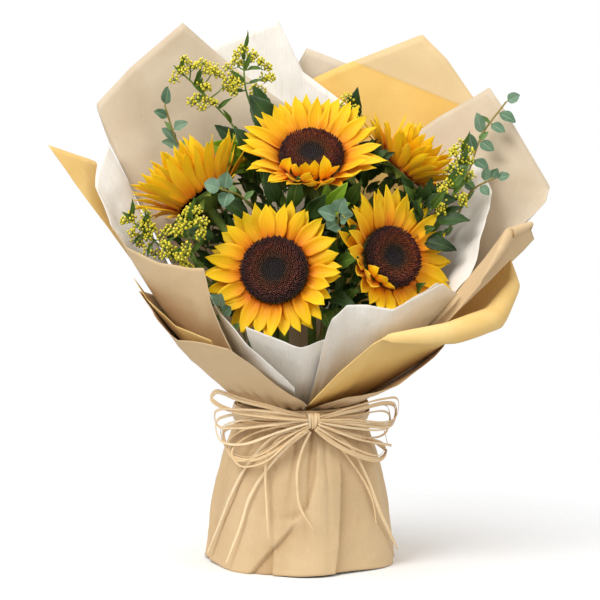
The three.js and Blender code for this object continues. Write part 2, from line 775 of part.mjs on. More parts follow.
// goldenrod: side shoots with clusters of small buds
const GOLDENROD = [
  {
    name: 'goldenrod_upper_left', turn: 112, seed: 1,
    stem: [A(-40, 34, 150), A(-62, 50, 270), A(-92, 48, 308), A(-122, 48, 337)],
    buds: [
      A(-122, 48, 337), A(-111, 47, 342), A(-99, 47, 344), A(-87, 47, 339), A(-101, 47, 323),
      A(-75, 48, 325), A(-105, 47, 309), A(-94, 47, 306),
    ],
  },
  {
    name: 'goldenrod_upright', turn: 97, seed: 2,
    stem: [A(-26, 40, 160), A(-44, 52, 280), A(-56, 50, 320), A(-58, 50, 358)],
    buds: [
      A(-58, 50, 358), A(-48, 51, 353), A(-40, 51, 344), A(-66, 50, 346), A(-38, 52, 330),
      A(-72, 50, 330), A(-68, 50, 318), A(-40, 52, 316),
    ],
  },
  {
    name: 'goldenrod_low_left', turn: 160, seed: 3,
    stem: [A(-66, -20, 96), A(-106, -30, 138), A(-138, -28, 166), A(-168, -22, 192)],
    buds: [
      A(-168, -22, 194), A(-160, -24, 184), A(-152, -26, 197), A(-146, -28, 183), A(-162, -22, 172),
      A(-136, -30, 176), A(-150, -26, 162), A(-124, -32, 156),
    ],
  },
  {
    name: 'goldenrod_mid_left', turn: 177, seed: 4,
    stem: [A(-58, -40, 96), A(-98, -64, 146), A(-108, -76, 176), A(-106, -82, 202)],
    buds: [
      A(-106, -82, 204), A(-114, -80, 194), A(-98, -84, 193), A(-122, -76, 182), A(-96, -82, 180),
      A(-110, -84, 168), A(-124, -76, 164), A(-112, -78, 152),
    ],
  },
  {
    name: 'goldenrod_right', turn: -40, seed: 5,
    stem: [A(64, -2, 96), A(126, -6, 176), A(150, -8, 216), A(160, 2, 262)],
    buds: [
      A(160, 2, 264), A(152, -4, 258), A(164, 0, 248), A(150, -8, 242), A(160, -6, 230),
      A(144, -12, 226), A(156, -8, 212), A(140, -12, 206),
    ],
  },
];

function bud(at, size, grow) {
  const g = new THREE.OctahedronGeometry(size + grow, 0);
  g.scale(1, 1, 1.25);
  g.translate(at.x, at.y, at.z);
  return outward(g);
}

function goldenrod(kind, grow = 0) {
  let made = fillerStem(kind, grow);
  const line = stemLine(kind);
  kind.buds.forEach((at, i) => {
    // each cluster sits on a shoot that leaves the stem a little lower down
    const lower = V(at.x, at.y, at.z - 12);
    const base = nearestOn(line, lower.lerp(line[line.length - 2], 0.25));
    if (base.distanceTo(at) > 4) made = made.add(bar([base, at], 0.9, 3, 1, grow));
    made = made.add(bud(at, BUD_RADIUS * (0.85 + 0.4 * vary(kind.seed, i)), grow));
  });
  return made;
}

// eucalyptus: oval leaves on a thin shoot; leaves are base, length, direction
const EUCALYPTUS = [
  {
    name: 'eucalyptus_upper_left', turn: 142, width: 11,
    stem: [A(-52, 32, 130), A(-96, 62, 226), A(-124, 60, 262), A(-138, 58, 302)],
    leaves: [
      [A(-138, 58, 302), V(0.3, -0.2, 1), 20], [A(-134, 58, 288), V(-1, -0.2, 0.5), 16],
      [A(-130, 59, 275), V(1, -0.3, 0.6), 18], [A(-122, 60, 258), V(-1, -0.2, 0.3), 19],
      [A(-116, 60, 252), V(0.9, -0.3, 0.7), 17], [A(-108, 61, 242), V(-1, -0.2, -0.2), 22],
      [A(-128, 59, 268), V(-1, 0, 0.9), 20],
    ],
  },
  {
    name: 'eucalyptus_mid_left', turn: 127, width: 16,
    stem: [A(-22, 8, 112), A(-36, -6, 184), A(-58, -56, 216), A(-76, -82, 224)],
    leaves: [
      [A(-76, -82, 224), V(-1, -0.2, 0.35), 17], [A(-73, -78, 222), V(0.1, -0.2, 1), 18],
      [A(-70, -74, 220), V(-0.3, -0.9, -1), 19],
    ],
  },
  {
    name: 'eucalyptus_centre', turn: -80, width: 17,
    stem: [A(24, -20, 112), A(34, -34, 162), A(36, -62, 188), A(35, -78, 200)],
    leaves: [
      [A(35, -78, 200), V(0.3, -0.3, 1), 18], [A(35, -74, 197), V(-1, -0.3, 0.3), 20],
      [A(36, -70, 194), V(1, -0.4, 0.2), 16], [A(36, -66, 191), V(-0.9, -0.9, -0.6), 18],
    ],
  },
  {
    name: 'eucalyptus_low_left', turn: 206, width: 13,
    stem: [A(-46, -60, 66), A(-72, -90, 96), A(-79, -97, 112)],
    leaves: [
      [A(-79, -97, 112), V(-0.6, 0.4, 1), 14], [A(-79, -97, 111), V(0.2, -0.3, 1), 15],
      [A(-76, -94, 106), V(0.9, -0.1, 0.7), 12],
    ],
  },
  {
    name: 'eucalyptus_long_right', turn: -14, width: 12,
    stem: [A(84, 30, 146), A(160, 26, 222), A(182, 34, 274), A(206, 42, 306)],
    leaves: [
      [A(206, 42, 306), V(1, -0.2, 0.5), 15], [A(196, 40, 297), V(1, -0.3, -0.5), 20],
      [A(187, 37, 286), V(1, -0.3, -0.7), 18], [A(182, 34, 278), V(-0.4, -0.3, 1), 22],
      [A(177, 29, 268), V(0.8, -0.4, -0.8), 18], [A(172, 26, 258), V(-0.5, -0.3, 1), 22],
      [A(168, 22, 250), V(0.9, -0.4, -0.7), 18], [A(162, 17, 238), V(-0.9, -0.2, 0.7), 18],
    ],
  },
  {
    name: 'eucalyptus_low_right', turn: -28, width: 10,
    stem: [A(90, 10, 112), A(150, 14, 184), A(170, -2, 220), A(192, -8, 232)],
    leaves: [
      [A(192, -8, 232), V(1, -0.1, 0.1), 13], [A(186, -8, 231), V(0.6, 0, 1), 13],
      [A(182, -7, 229), V(0.1, -0.1, 1), 15], [A(176, -5, 226), V(0.7, -0.5, -0.8), 14],
      [A(169, -2, 219), V(-0.2, -0.2, 1), 14],
    ],
  },
];

function eucalyptus(kind, grow = 0) {
  let made = fillerStem(kind, grow);
  const line = stemLine(kind);
  kind.leaves.forEach(([at, way, length], i) => {
    const up = V(0.3 * (vary(i, 3) - 0.5), -1, 0.5);
    made = made.add(leaf(nearestOn(line, at), way, up, length, kind.width, grow, 0));
  });
  return made;
}

// broad leaves of the sunflowers: base, direction, length, width
const LEAVES = [
  {
    name: 'leaf_upper_left', at: A(-24, 24, 270), way: V(-0.5, -0.1, 1), length: 52, width: 30,
    colour: LEAF_GREEN,
  },
  {
    name: 'leaf_mid_left', at: A(-50, 10, 246), way: V(-1, -0.2, 0.5), length: 50, width: 26,
    colour: FRESH_GREEN,
  },
  {
    name: 'leaf_centre', at: A(24, -40, 198), way: V(0.5, -0.5, 0.8), length: 44, width: 16,
    colour: FRESH_GREEN,
  },
];

// ------------------------------------------------------------------- assembly
function twine(grow = 0) {
  const r = FILLER_STEM_RING + FILLER_STEM_RADIUS + 0.8 + TWINE_RADIUS;
  return ringBody(r - TWINE_RADIUS, r + TWINE_RADIUS, TIE_HEIGHT - 4, TIE_HEIGHT + 4, 16, grow);
}

// every piece in the order in which it keeps its full shape:
// a later piece is trimmed clear of the earlier ones
const pieces = [];
function piece(name, build, colour, roughness) {
  pieces.push({ name, build, colour, roughness });
}

FLOWERS.forEach((f) => piece(`seed_disc_${f.key}`, (g) => disc(f, g), SEED_BROWN, 0.95));
FLOWERS.forEach((f) => piece(`petals_${f.key}`, (g) => petals(f, g), YELLOW, 0.55));
FLOWERS.forEach((f) => piece(`stem_${f.key}`, (g) => stem(f, g), STEM_GREEN, 0.6));
piece('binding_twine', twine, TWINE, 0.9);
piece('paper_skirt', skirt, KRAFT, 0.8);
[...PAPERS].sort((a, b) => a.layer[0] + a.layer[1] - b.layer[0] - b.layer[1])
  .forEach((sheet) => piece(sheet.name, (g) => paper(sheet, g), sheet.colour, 0.75));
piece('raffia_band', band, RAFFIA, 0.8);
piece('raffia_knot', knot, RAFFIA, 0.8);
LOOPS.forEach((l) => piece(l.name, (g) => strand(l.run, LOOP_RADIUS, LOOP_STEPS, g), RAFFIA, 0.8));
TAILS.forEach((l) => piece(l.name, (g) => strand(l.run, STRAND_RADIUS, TAIL_STEPS, g), RAFFIA, 0.8));
LEAVES.forEach((l) => piece(
  l.name,
  (g) => leaf(l.at, l.way, V(0.1, -1, 0.4), l.length, l.width, g),
  l.colour,
  0.6,
));
EUCALYPTUS.forEach((e) => piece(e.name, (g) => eucalyptus(e, g), BLUE_GREEN, 0.6));
GOLDENROD.forEach((e) => piece(e.name, (g) => goldenrod(e, g), BUD_YELLOW, 0.8));

function apart(a, b) {
  return a.min.some((v, i) => v > b.max[i] + 1) || b.min.some((v, i) => v > a.max[i] + 1);
}

const done = [];
const bunch = new THREE.Group();
for (const item of pieces) {
  let made = item.build(0);
  const box = made.boundingBox();
  for (const other of done) {
    if (!apart(box, other.box)) made = made.subtract(other.grown);
  }
  const bodies = made.decompose();
  bodies.sort((a, b) => b.volume() - a.volume());
  made = bodies[0];
  done.push({ box, grown: item.build(GAP) });
  const material = new THREE.MeshStandardMaterial({
    color: item.colour,
    roughness: item.roughness,
    metalness: 0,
  });
  const mesh = new THREE.Mesh(geometryOf(made), material);
  mesh.name = item.name;
  bunch.add(mesh);
}

// the origin is under the middle of the whole bunch, on the surface that it stands on
const bounds = new THREE.Box3().setFromObject(bunch);
bunch.position.set(
  -(bounds.min.x + bounds.max.x) / 2,
  -(bounds.min.y + bounds.max.y) / 2,
  -bounds.min.z,
);

const object = new THREE.Group();
object.add(bunch);

export default object;
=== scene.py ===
"""A hand-tied bunch of sunflowers in layered wrapping papers with a raffia bow.

Design values are in millimetres in the design's own axes: +Z up, -Y the front, the tie's
axis at x = y = 0. world() turns them into the row frame, in metres. Angles round the bunch
are bearings in degrees: 0 is the front, 90 is the right side.
"""

import math

import bpy
import numpy as np
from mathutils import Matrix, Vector, noise

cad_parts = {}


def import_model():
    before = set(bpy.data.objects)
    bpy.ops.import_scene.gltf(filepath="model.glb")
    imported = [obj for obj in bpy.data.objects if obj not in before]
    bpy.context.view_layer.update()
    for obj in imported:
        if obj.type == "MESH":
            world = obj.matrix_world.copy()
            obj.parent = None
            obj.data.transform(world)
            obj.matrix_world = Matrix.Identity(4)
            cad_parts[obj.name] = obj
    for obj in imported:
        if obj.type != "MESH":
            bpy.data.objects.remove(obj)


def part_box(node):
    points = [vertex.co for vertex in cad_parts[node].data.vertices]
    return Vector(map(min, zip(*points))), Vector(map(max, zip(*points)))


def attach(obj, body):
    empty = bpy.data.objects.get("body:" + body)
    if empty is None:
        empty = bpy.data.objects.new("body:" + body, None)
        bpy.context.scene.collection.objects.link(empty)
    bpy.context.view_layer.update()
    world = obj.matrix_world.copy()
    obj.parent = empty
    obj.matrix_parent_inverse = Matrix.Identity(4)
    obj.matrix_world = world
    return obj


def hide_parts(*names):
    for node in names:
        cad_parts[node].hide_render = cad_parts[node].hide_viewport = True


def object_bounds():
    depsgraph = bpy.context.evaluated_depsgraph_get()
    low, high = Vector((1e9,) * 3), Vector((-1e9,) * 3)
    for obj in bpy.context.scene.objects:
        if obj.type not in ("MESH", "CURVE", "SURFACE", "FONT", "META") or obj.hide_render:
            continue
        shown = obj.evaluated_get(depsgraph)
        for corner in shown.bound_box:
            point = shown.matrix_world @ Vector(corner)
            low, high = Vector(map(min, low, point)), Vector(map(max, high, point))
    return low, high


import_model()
CAD_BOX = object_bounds()

# ------------------------------------------------------------ sizes shared with the CAD model
TIE_HEIGHT = 150
STEM_LEAN = 0.3
FLOWER_STEM_RADIUS = 4.5
FLOWER_STEM_RING = 13
FILLER_STEM_RADIUS = 1.5
FILLER_STEM_RING = 21.5
WHORL_STEP = 3
DISC_HEIGHT = 8.5
DISC_FOOT = 2.92
CALYX_RADIUS = 25
CALYX_DEPTH = 15
PAPER_RINGS = 34
PAPER_PITCH = 2.0
PAPER_ROWS = 5
PAPER_TUCK = 22
BAND_HEIGHT = 16
BAND_THICKNESS = 4.5
SKIRT_HEM = 95
SKIRT_NECK = 64
SKIRT_TOP = TIE_HEIGHT + BAND_HEIGHT / 2
PAPER_BREAK = SKIRT_TOP + 0.5
SKIRT_PLEATS = 7
PLEAT_DEPTH = 3.2
NECK_OUT = SKIRT_NECK + 0.92
BAND_OUT = NECK_OUT + BAND_THICKNESS
KNOT_BEARING = 9
KNOT_WIDTH = 13
KNOT_HEIGHT = 17
KNOT_DEPTH = 13
LOOP_DIAMETER = 4.4
TAIL_DIAMETER = 3.2

# ------------------------------------------------------------ sizes of the finished surfaces
DISC_SIZE = 31                    # the disc radius that the heads' other sizes are given for
STEM_FOOT = -6                    # the stems' spiral starts below the level cut
LEAF_THICKNESS = 0.4
SKIRT_THICKNESS = 0.6
PAPER_DENTS = 62.0                # size of the dents in a sheet and in the skirt
SKIRT_DENTS = 46.0
BAND_TURNS = 11
KNOT_TURNS = 7
TWINE_TURNS = 5
TWINE_TALL = 6.4                  # from the lowest turn to the highest
TWINE_RING = FILLER_STEM_RING + FILLER_STEM_RADIUS + 1.9
PETALS_PER_WHORL = 21
PETAL_WIDTH = 14.2
PETAL_THICKNESS = 0.45
FLORETS = 900
GOLDEN_ANGLE = 137.508
PAPER_THICKNESS = 0.4
RIBBON_THICKNESS = 0.42

TWINE_LOW, TWINE_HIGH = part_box("binding_twine")
AXIS = np.array([(TWINE_LOW[0] + TWINE_HIGH[0]) / 2, (TWINE_LOW[1] + TWINE_HIGH[1]) / 2, 0.0])


def world(points):
    """Design millimetres to row metres."""
    return AXIS + np.asarray(points, float) / 1000.0


def above_tie(place):
    """A place given by its height above the tie."""
    return np.array([place[0], place[1], place[2] + TIE_HEIGHT], float)


def vary(seed, n):
    """A repeatable value in 0..1 for the nth variation of something."""
    x = math.sin(seed * 127.1 + n * 311.7) * 43758.5453
    return x - math.floor(x)


def unit(v):
    v = np.asarray(v, float)
    return v / max(np.linalg.norm(v), 1e-9)


def around(bearing, radius, z):
    """Places at bearings round the axis; each value is one number or one for each place."""
    b = np.radians(bearing)
    return np.stack(np.broadcast_arrays(radius * np.sin(b), -radius * np.cos(b), z), axis=-1)


def turned(a, b, angle):
    """The pair of coordinates turned by an angle in radians."""
    return a * np.cos(angle) - b * np.sin(angle), a * np.sin(angle) + b * np.cos(angle)


def smoothstep(a, b, x):
    t = np.clip((np.asarray(x, float) - a) / (b - a), 0.0, 1.0)
    return t * t * (3 - 2 * t)


# ------------------------------------------------------------ mesh helpers
class Build:
    """Gathers the surfaces of one piece. look holds three numbers for each point, which the
    materials read: along the form, across it, and a value that differs from form to form, which
    on the papers and the skirt is the depth of painted shade."""

    def __init__(self):
        self.points = []
        self.faces = []
        self.looks = []
        self.kinds = []
        self.count = 0

    def add(self, points, faces, look, kind=0):
        points = np.asarray(points, float).reshape(-1, 3)
        look = np.broadcast_to(np.asarray(look, float), (len(points), 3))
        self.points.append(points)
        self.looks.append(look)
        self.faces += [[i + self.count for i in f] for f in faces]
        self.kinds += [kind] * len(faces)
        self.count += len(points)

    def piece(self, name, materials, slot, replaces=(), thick=0.0, smooth=True):
        mesh = bpy.data.meshes.new(name)
        mesh.from_pydata(world(np.concatenate(self.points)).tolist(), [], self.faces)
        look = mesh.attributes.new("look", "FLOAT_VECTOR", "POINT")
        look.data.foreach_set("vector", np.concatenate(self.looks).astype(np.float32).ravel())
        mesh.polygons.foreach_set("use_smooth", [smooth] * len(mesh.polygons))
        for m in materials:
            mesh.materials.append(m)
        mesh.polygons.foreach_set("material_index", self.kinds)
        mesh.update()
        ob = bpy.data.objects.new(name, mesh)
        bpy.context.scene.collection.objects.link(ob)
        if thick:
            skin = ob.modifiers.new("thickness", "SOLIDIFY")
            skin.thickness = thick / 1000
            skin.offset = 0
        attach(ob, "root")
        if replaces:
            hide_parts(*replaces)
        return ob


def grid_faces(rows, across, wrap=False):
    """Faces of a grid of points held row by row."""
    n = across if wrap else across + 1
    faces = []
    for i in range(rows):
        for j in range(across):
            k = (j + 1) % n
            faces.append([i * n + j, i * n + k, (i + 1) * n + k, (i + 1) * n + j])
    return faces


def look_of(u, s, own):
    """The look of a grid of points whose rows lie at u and whose columns lie at s."""
    return np.stack([np.repeat(u, len(s)), np.tile(s, len(u)), np.full(len(u) * len(s), own)], axis=1)


def bent(length, bend):
    """How far along and up a blade's midline has come at each step, from its slope there."""
    step = length / (len(bend) - 1)
    return [np.concatenate([[0], np.cumsum(way(bend[:-1]) * step)])[:, None] for way in (np.cos, np.sin)]


def lathe(profile, sides):
    """Rings of points round the z axis, from pairs of radius and height."""
    a = np.arange(sides) / sides * 2 * math.pi
    return np.array([np.stack([r * np.cos(a), r * np.sin(a), np.full_like(a, h)], axis=1)
                     for r, h in profile])


def spline(points, count):
    """Evenly spaced points on a centripetal Catmull-Rom curve through the given ones."""
    p = np.asarray(points, float)
    if len(p) == 2:
        return p[0] + (p[1] - p[0]) * np.linspace(0, 1, count)[:, None]
    p = np.vstack([2 * p[0] - p[1], p, 2 * p[-1] - p[-2]])
    fine = []
    for i in range(1, len(p) - 2):
        level = list(p[i - 1:i + 3])
        gaps = np.linalg.norm(np.diff(level, axis=0), axis=1)
        k = np.concatenate([[0], np.cumsum(np.maximum(gaps, 1e-6) ** 0.5)])
        t = np.linspace(k[1], k[2], 16, endpoint=False)[:, None]
        for spans in (((0, 1), (1, 2), (2, 3)), ((0, 2), (1, 3)), ((1, 2),)):
            level = [((k[e] - t) * level[n] + (t - k[s]) * level[n + 1]) / (k[e] - k[s])
                     for n, (s, e) in enumerate(spans)]
        fine.append(level[0])
    fine.append(p[-2][None, :])
    return spaced(np.vstack(fine), count)


def spaced(line, count):
    """The same line with evenly spaced points."""
    far = np.concatenate([[0], np.cumsum(np.linalg.norm(np.diff(line, axis=0), axis=1))])
    at = np.linspace(0, far[-1], count)
    return np.stack([np.interp(at, far, line[:, k]) for k in range(3)], axis=1)


def length_of(line):
    return float(np.linalg.norm(np.diff(line, axis=0), axis=1).sum())


def tangents(line):
    t = np.gradient(line, axis=0)
    return t / np.maximum(np.linalg.norm(t, axis=1), 1e-9)[:, None]


def frames(line, up):
    """Tangent, outward and sideways directions along a line; up is the wished outward one."""
    t = tangents(line)
    n = np.asarray(up, float) * np.ones_like(t)
    n = n - (n * t).sum(1)[:, None] * t
    weak = np.linalg.norm(n, axis=1) < 1e-3
    n[weak] = np.cross(t[weak], [0.3, 0.9, 0.1])
    n = n / np.linalg.norm(n, axis=1)[:, None]
    return t, n, np.cross(t, n)


def carried(line):
    """Frames that turn as little as they can along a line."""
    t = tangents(line)
    n = np.zeros_like(t)
    n[0] = unit(np.cross(t[0], [0.31, 0.83, 0.11]))
    for i in range(1, len(line)):
        n[i] = unit(n[i - 1] - np.dot(n[i - 1], t[i]) * t[i])
    return t, n, np.cross(t, n)


def tube(build, line, radius, sides=8, kind=0, across=0.0, own=0.5):
    """A round bar along a line, closed at both ends. radius is one value or one a point."""
    _, n, b = carried(line)
    r = np.broadcast_to(np.asarray(radius, float), (len(line),))
    a = np.arange(sides) / sides * 2 * math.pi
    ring = n[:, None, :] * np.cos(a)[None, :, None] + b[:, None, :] * np.sin(a)[None, :, None]
    points = line[:, None, :] + ring * r[:, None, None]
    if line[0, 2] < 0.01:
        points[..., 2] = np.maximum(points[..., 2], 0)
    faces = grid_faces(len(line) - 1, sides, wrap=True)
    faces.append(list(range(sides))[::-1])
    faces.append([(len(line) - 1) * sides + j for j in range(sides)])
    build.add(points, faces, look_of(np.linspace(0, 1, len(line)), np.full(sides, across), own), kind)


def ribbon(build, line, out, width, thick, turn=0.0, twist=0.0, seed=0, taper=0.0, shut=False):
    """A flat, slightly hollow strand. out is its outward direction, one for each point; turn and
    twist are the angle it starts at and what it gains along its length, in radians."""
    _, n, b = frames(line, out)
    count = len(line)
    u = np.linspace(0, 1, count)
    side, face = turned(b, n, (turn + twist * u)[:, None])
    half = 0.5 * width * (1 - taper * smoothstep(0.7, 1, u))
    half = half * (1 + 0.12 * np.sin(u * 19 + seed) + 0.07 * np.sin(u * 43 + 2 * seed))
    profile = [(-1, 0.1), (-0.6, 0.62), (0, 0.35), (0.6, 0.62), (1, 0.1), (0.6, -0.38), (0, -0.65),
               (-0.6, -0.38)]
    rings = [line + side * (half * a)[:, None] + face * (thick * c) for a, c in profile]
    points = np.stack(rings, axis=1)
    m = len(profile)
    faces = grid_faces(count - 1, m, wrap=True)
    if shut:
        last = (count - 1) * m
        faces += [[last + j, last + (j + 1) % m, (j + 1) % m, j] for j in range(m)]
    else:
        faces.append(list(range(m))[::-1])
        faces.append([(count - 1) * m + j for j in range(m)])
    build.add(points, faces, look_of(u, [p[0] for p in profile], vary(seed, 9)))


# ------------------------------------------------------------ materials
def rgb(colour):
    """A colour from its 0..255 screen values."""
    c = np.array(colour) / 255
    return (*np.where(c <= 0.04045, c / 12.92, ((c + 0.055) / 1.055) ** 2.4).tolist(), 1.0)


class Shader:
    """A Principled material and short ways to add nodes to it."""

    def __init__(self, name, roughness, specular=0.3, sheen=0.0, subsurface=0.0, coat=0.0,
                 depth=(0.002, 0.001, 0.001), deep=0.5):
        self.material = bpy.data.materials.new(name)
        self.material.use_nodes = True
        self.tree = self.material.node_tree
        self.tree.nodes.clear()
        self.end = self.tree.nodes.new("ShaderNodeOutputMaterial")
        self.body = self.tree.nodes.new("ShaderNodeBsdfPrincipled")
        self.join(self.body.outputs[0], self.end.inputs["Surface"])
        for socket, value in {
            "Roughness": roughness, "Specular IOR Level": specular, "Sheen Weight": sheen,
            "Subsurface Weight": subsurface, "Subsurface Radius": depth, "Subsurface Scale": deep,
            "Coat Weight": coat, "Coat Roughness": 0.35,
        }.items():
            self.body.inputs[socket].default_value = value
        self.bumps = None

    def join(self, a, b):
        self.tree.links.new(a, b)

    def node(self, kind, **values):
        n = self.tree.nodes.new("ShaderNode" + kind)
        for key, value in values.items():
            setattr(n, key, value)
        return n

    def place(self):
        return self.node("TexCoord").outputs["Object"]

    def look(self):
        """Along, across and own value of the form."""
        parts = self.node("SeparateXYZ")
        self.join(self.node("Attribute", attribute_name="look").outputs["Vector"], parts.inputs[0])
        return parts.outputs

    def scaled(self, vector, scale):
        n = self.node("Mapping")
        self.join(vector, n.inputs["Vector"])
        n.inputs["Scale"].default_value = scale
        return n.outputs[0]

    def combine(self, x, y, z):
        n = self.node("CombineXYZ")
        for socket, value in zip(n.inputs, (x, y, z)):
            self.feed(value, socket)
        return n.outputs[0]

    def feed(self, value, socket):
        """Joins or sets a socket; three plain numbers are a screen colour."""
        if isinstance(value, bpy.types.NodeSocket):
            self.join(value, socket)
        else:
            socket.default_value = rgb(value) if isinstance(value, tuple) else value

    def noise(self, vector, scale, detail=4.0, rough=0.55, warp=0.0):
        n = self.node("TexNoise")
        self.join(vector, n.inputs["Vector"])
        n.inputs["Scale"].default_value = scale
        n.inputs["Detail"].default_value = detail
        n.inputs["Roughness"].default_value = rough
        n.inputs["Distortion"].default_value = warp
        return n.outputs["Fac"]

    def math(self, what, a, b=0.0, c=0.0):
        n = self.node("Math", operation=what)
        for socket, value in zip(n.inputs, (a, b, c)):
            self.feed(value, socket)
        return n.outputs[0]

    def times(self, a, b):
        return self.math("MULTIPLY", a, b)

    def plus(self, a, b):
        return self.math("ADD", a, b)

    def waves(self, value, power):
        """Narrow ridges, one to each half turn of value."""
        return self.math("POWER", self.math("ABSOLUTE", self.math("SINE", value)), power)

    def grain(self, look, scale_across, scale_along, scale_own=1.0):
        """A place on the form, stretched along it and different from form to form."""
        along, across, own = look
        return self.combine(self.times(across, scale_across), self.times(along, scale_along),
                            self.times(own, scale_own))

    def span(self, value, low, high, to_low=0.0, to_high=1.0):
        n = self.node("MapRange")
        for socket, v in zip(n.inputs, (value, low, high, to_low, to_high)):
            self.feed(v, socket)
        return n.outputs[0]

    def ramp(self, value, stops):
        n = self.node("ValToRGB")
        self.join(value, n.inputs[0])
        bar = n.color_ramp
        while len(bar.elements) < len(stops):
            bar.elements.new(0.5)
        for e, (at, colour) in zip(bar.elements, stops):
            e.position = at
            e.color = rgb(colour)
        return n.outputs[0]

    def mix(self, share, a, b, blend="MIX"):
        n = self.node("Mix", data_type="RGBA", blend_type=blend)
        for socket, value in ((n.inputs[0], share), (n.inputs[6], a), (n.inputs[7], b)):
            self.feed(value, socket)
        return n.outputs[2]

    def colour(self, value):
        self.feed(value, self.body.inputs["Base Color"])

    def thin(self, colour, share):
        """Lets a share of the light through, as a petal does."""
        through = self.node("BsdfTranslucent")
        self.feed(colour, through.inputs["Color"])
        mix = self.node("MixShader")
        mix.inputs[0].default_value = share
        self.join(self.body.outputs[0], mix.inputs[1])
        self.join(through.outputs[0], mix.inputs[2])
        self.join(mix.outputs[0], self.end.inputs["Surface"])

    def bump(self, height, strength, millimetres):
        n = self.node("Bump")
        n.inputs["Strength"].default_value = strength
        n.inputs["Distance"].default_value = millimetres / 1000
        self.join(height, n.inputs["Height"])
        if self.bumps:
            self.join(self.bumps, n.inputs["Normal"])
        self.bumps = n.outputs[0]
        self.join(self.bumps, self.body.inputs["Normal"])


def petal_shader(name, tip, middle, base, deep):
    s = Shader(name, 0.48, specular=0.25, sheen=0.08, subsurface=0.12, depth=(0.004, 0.002, 0.0005),
               deep=0.6)
    along, across, own = look = s.look()
    streaks = s.noise(s.grain(look, 7.0, 1.6, 37.0), 1.5, detail=5, rough=0.6)
    reach = s.plus(along, s.span(streaks, 0.3, 0.7, -0.12, 0.12))
    reach = s.plus(reach, s.span(own, 0, 1, -0.08, 0.08))
    body = s.ramp(reach, [(0.0, deep), (0.14, base), (0.40, middle), (0.80, tip)])
    vein = s.waves(s.times(across, 7.5), 6.0)
    fade = s.span(along, 0.1, 0.9, 0.32, 0.08)
    body = s.mix(s.times(vein, fade), body, base)
    s.colour(body)
    s.thin(body, 0.22)
    s.bump(s.noise(s.grain(look, 22.0, 3.0), 1.0, detail=3), 0.35, 0.5)
    s.bump(vein, 0.25, 0.4)
    return s.material


def floret_shader():
    s = Shader("seed_florets", 0.85, specular=0.15, sheen=0.2)
    ring, tip, own = s.look()
    ground = s.ramp(ring, [
        (0.0, (40, 38, 42)), (0.24, (34, 32, 34)), (0.33, (46, 40, 22)),
        (0.42, (82, 46, 18)), (0.60, (104, 46, 14)), (0.80, (78, 26, 12)),
        (0.92, (48, 16, 10)),
    ])
    light = s.ramp(ring, [
        (0.0, (74, 72, 82)), (0.30, (70, 66, 60)), (0.42, (140, 80, 26)),
        (0.62, (176, 84, 26)), (0.82, (120, 44, 22)), (0.95, (66, 24, 16)),
    ])
    share = s.times(s.math("POWER", tip, 2.0), s.span(own, 0.2, 1.0, 0.15, 0.9))
    s.colour(s.mix(share, ground, light))
    return s.material


def green_shader(name, dark, light, vein, rough=0.5, veins=True, specular=0.35, coat=0.0):
    s = Shader(name, rough, specular=specular, subsurface=0.05, coat=coat, depth=(0.001, 0.003, 0.0005))
    along, across, own = s.look()
    patches = s.noise(s.place(), 60.0, detail=5)
    tone = s.plus(s.span(patches, 0.3, 0.7, 0.1, 0.7), s.span(own, 0, 1, -0.15, 0.35))
    body = s.ramp(tone, [(0.1, dark), (0.9, light)])
    if veins:
        side = s.math("ABSOLUTE", across)
        rib = s.span(side, 0.02, 0.09, 0.85, 0.0)
        slant = s.math("SUBTRACT", s.times(along, 44.0), s.times(side, 13.0))
        lateral = s.waves(slant, 14.0)
        net = s.math("MAXIMUM", rib, s.times(lateral, 0.16))
        edge = s.span(side, 0.9, 1.0, 0.0, 0.45)
        body = s.mix(s.math("MAXIMUM", net, edge), body, vein)
        s.bump(net, 0.4, 0.5)
    s.colour(body)
    s.bump(s.noise(s.place(), 420.0, detail=3), 0.25, 0.3)
    s.join(s.span(patches, 0.2, 0.8, rough - 0.08, rough + 0.12), s.body.inputs["Roughness"])
    if veins:
        s.thin(body, 0.2)
    return s.material


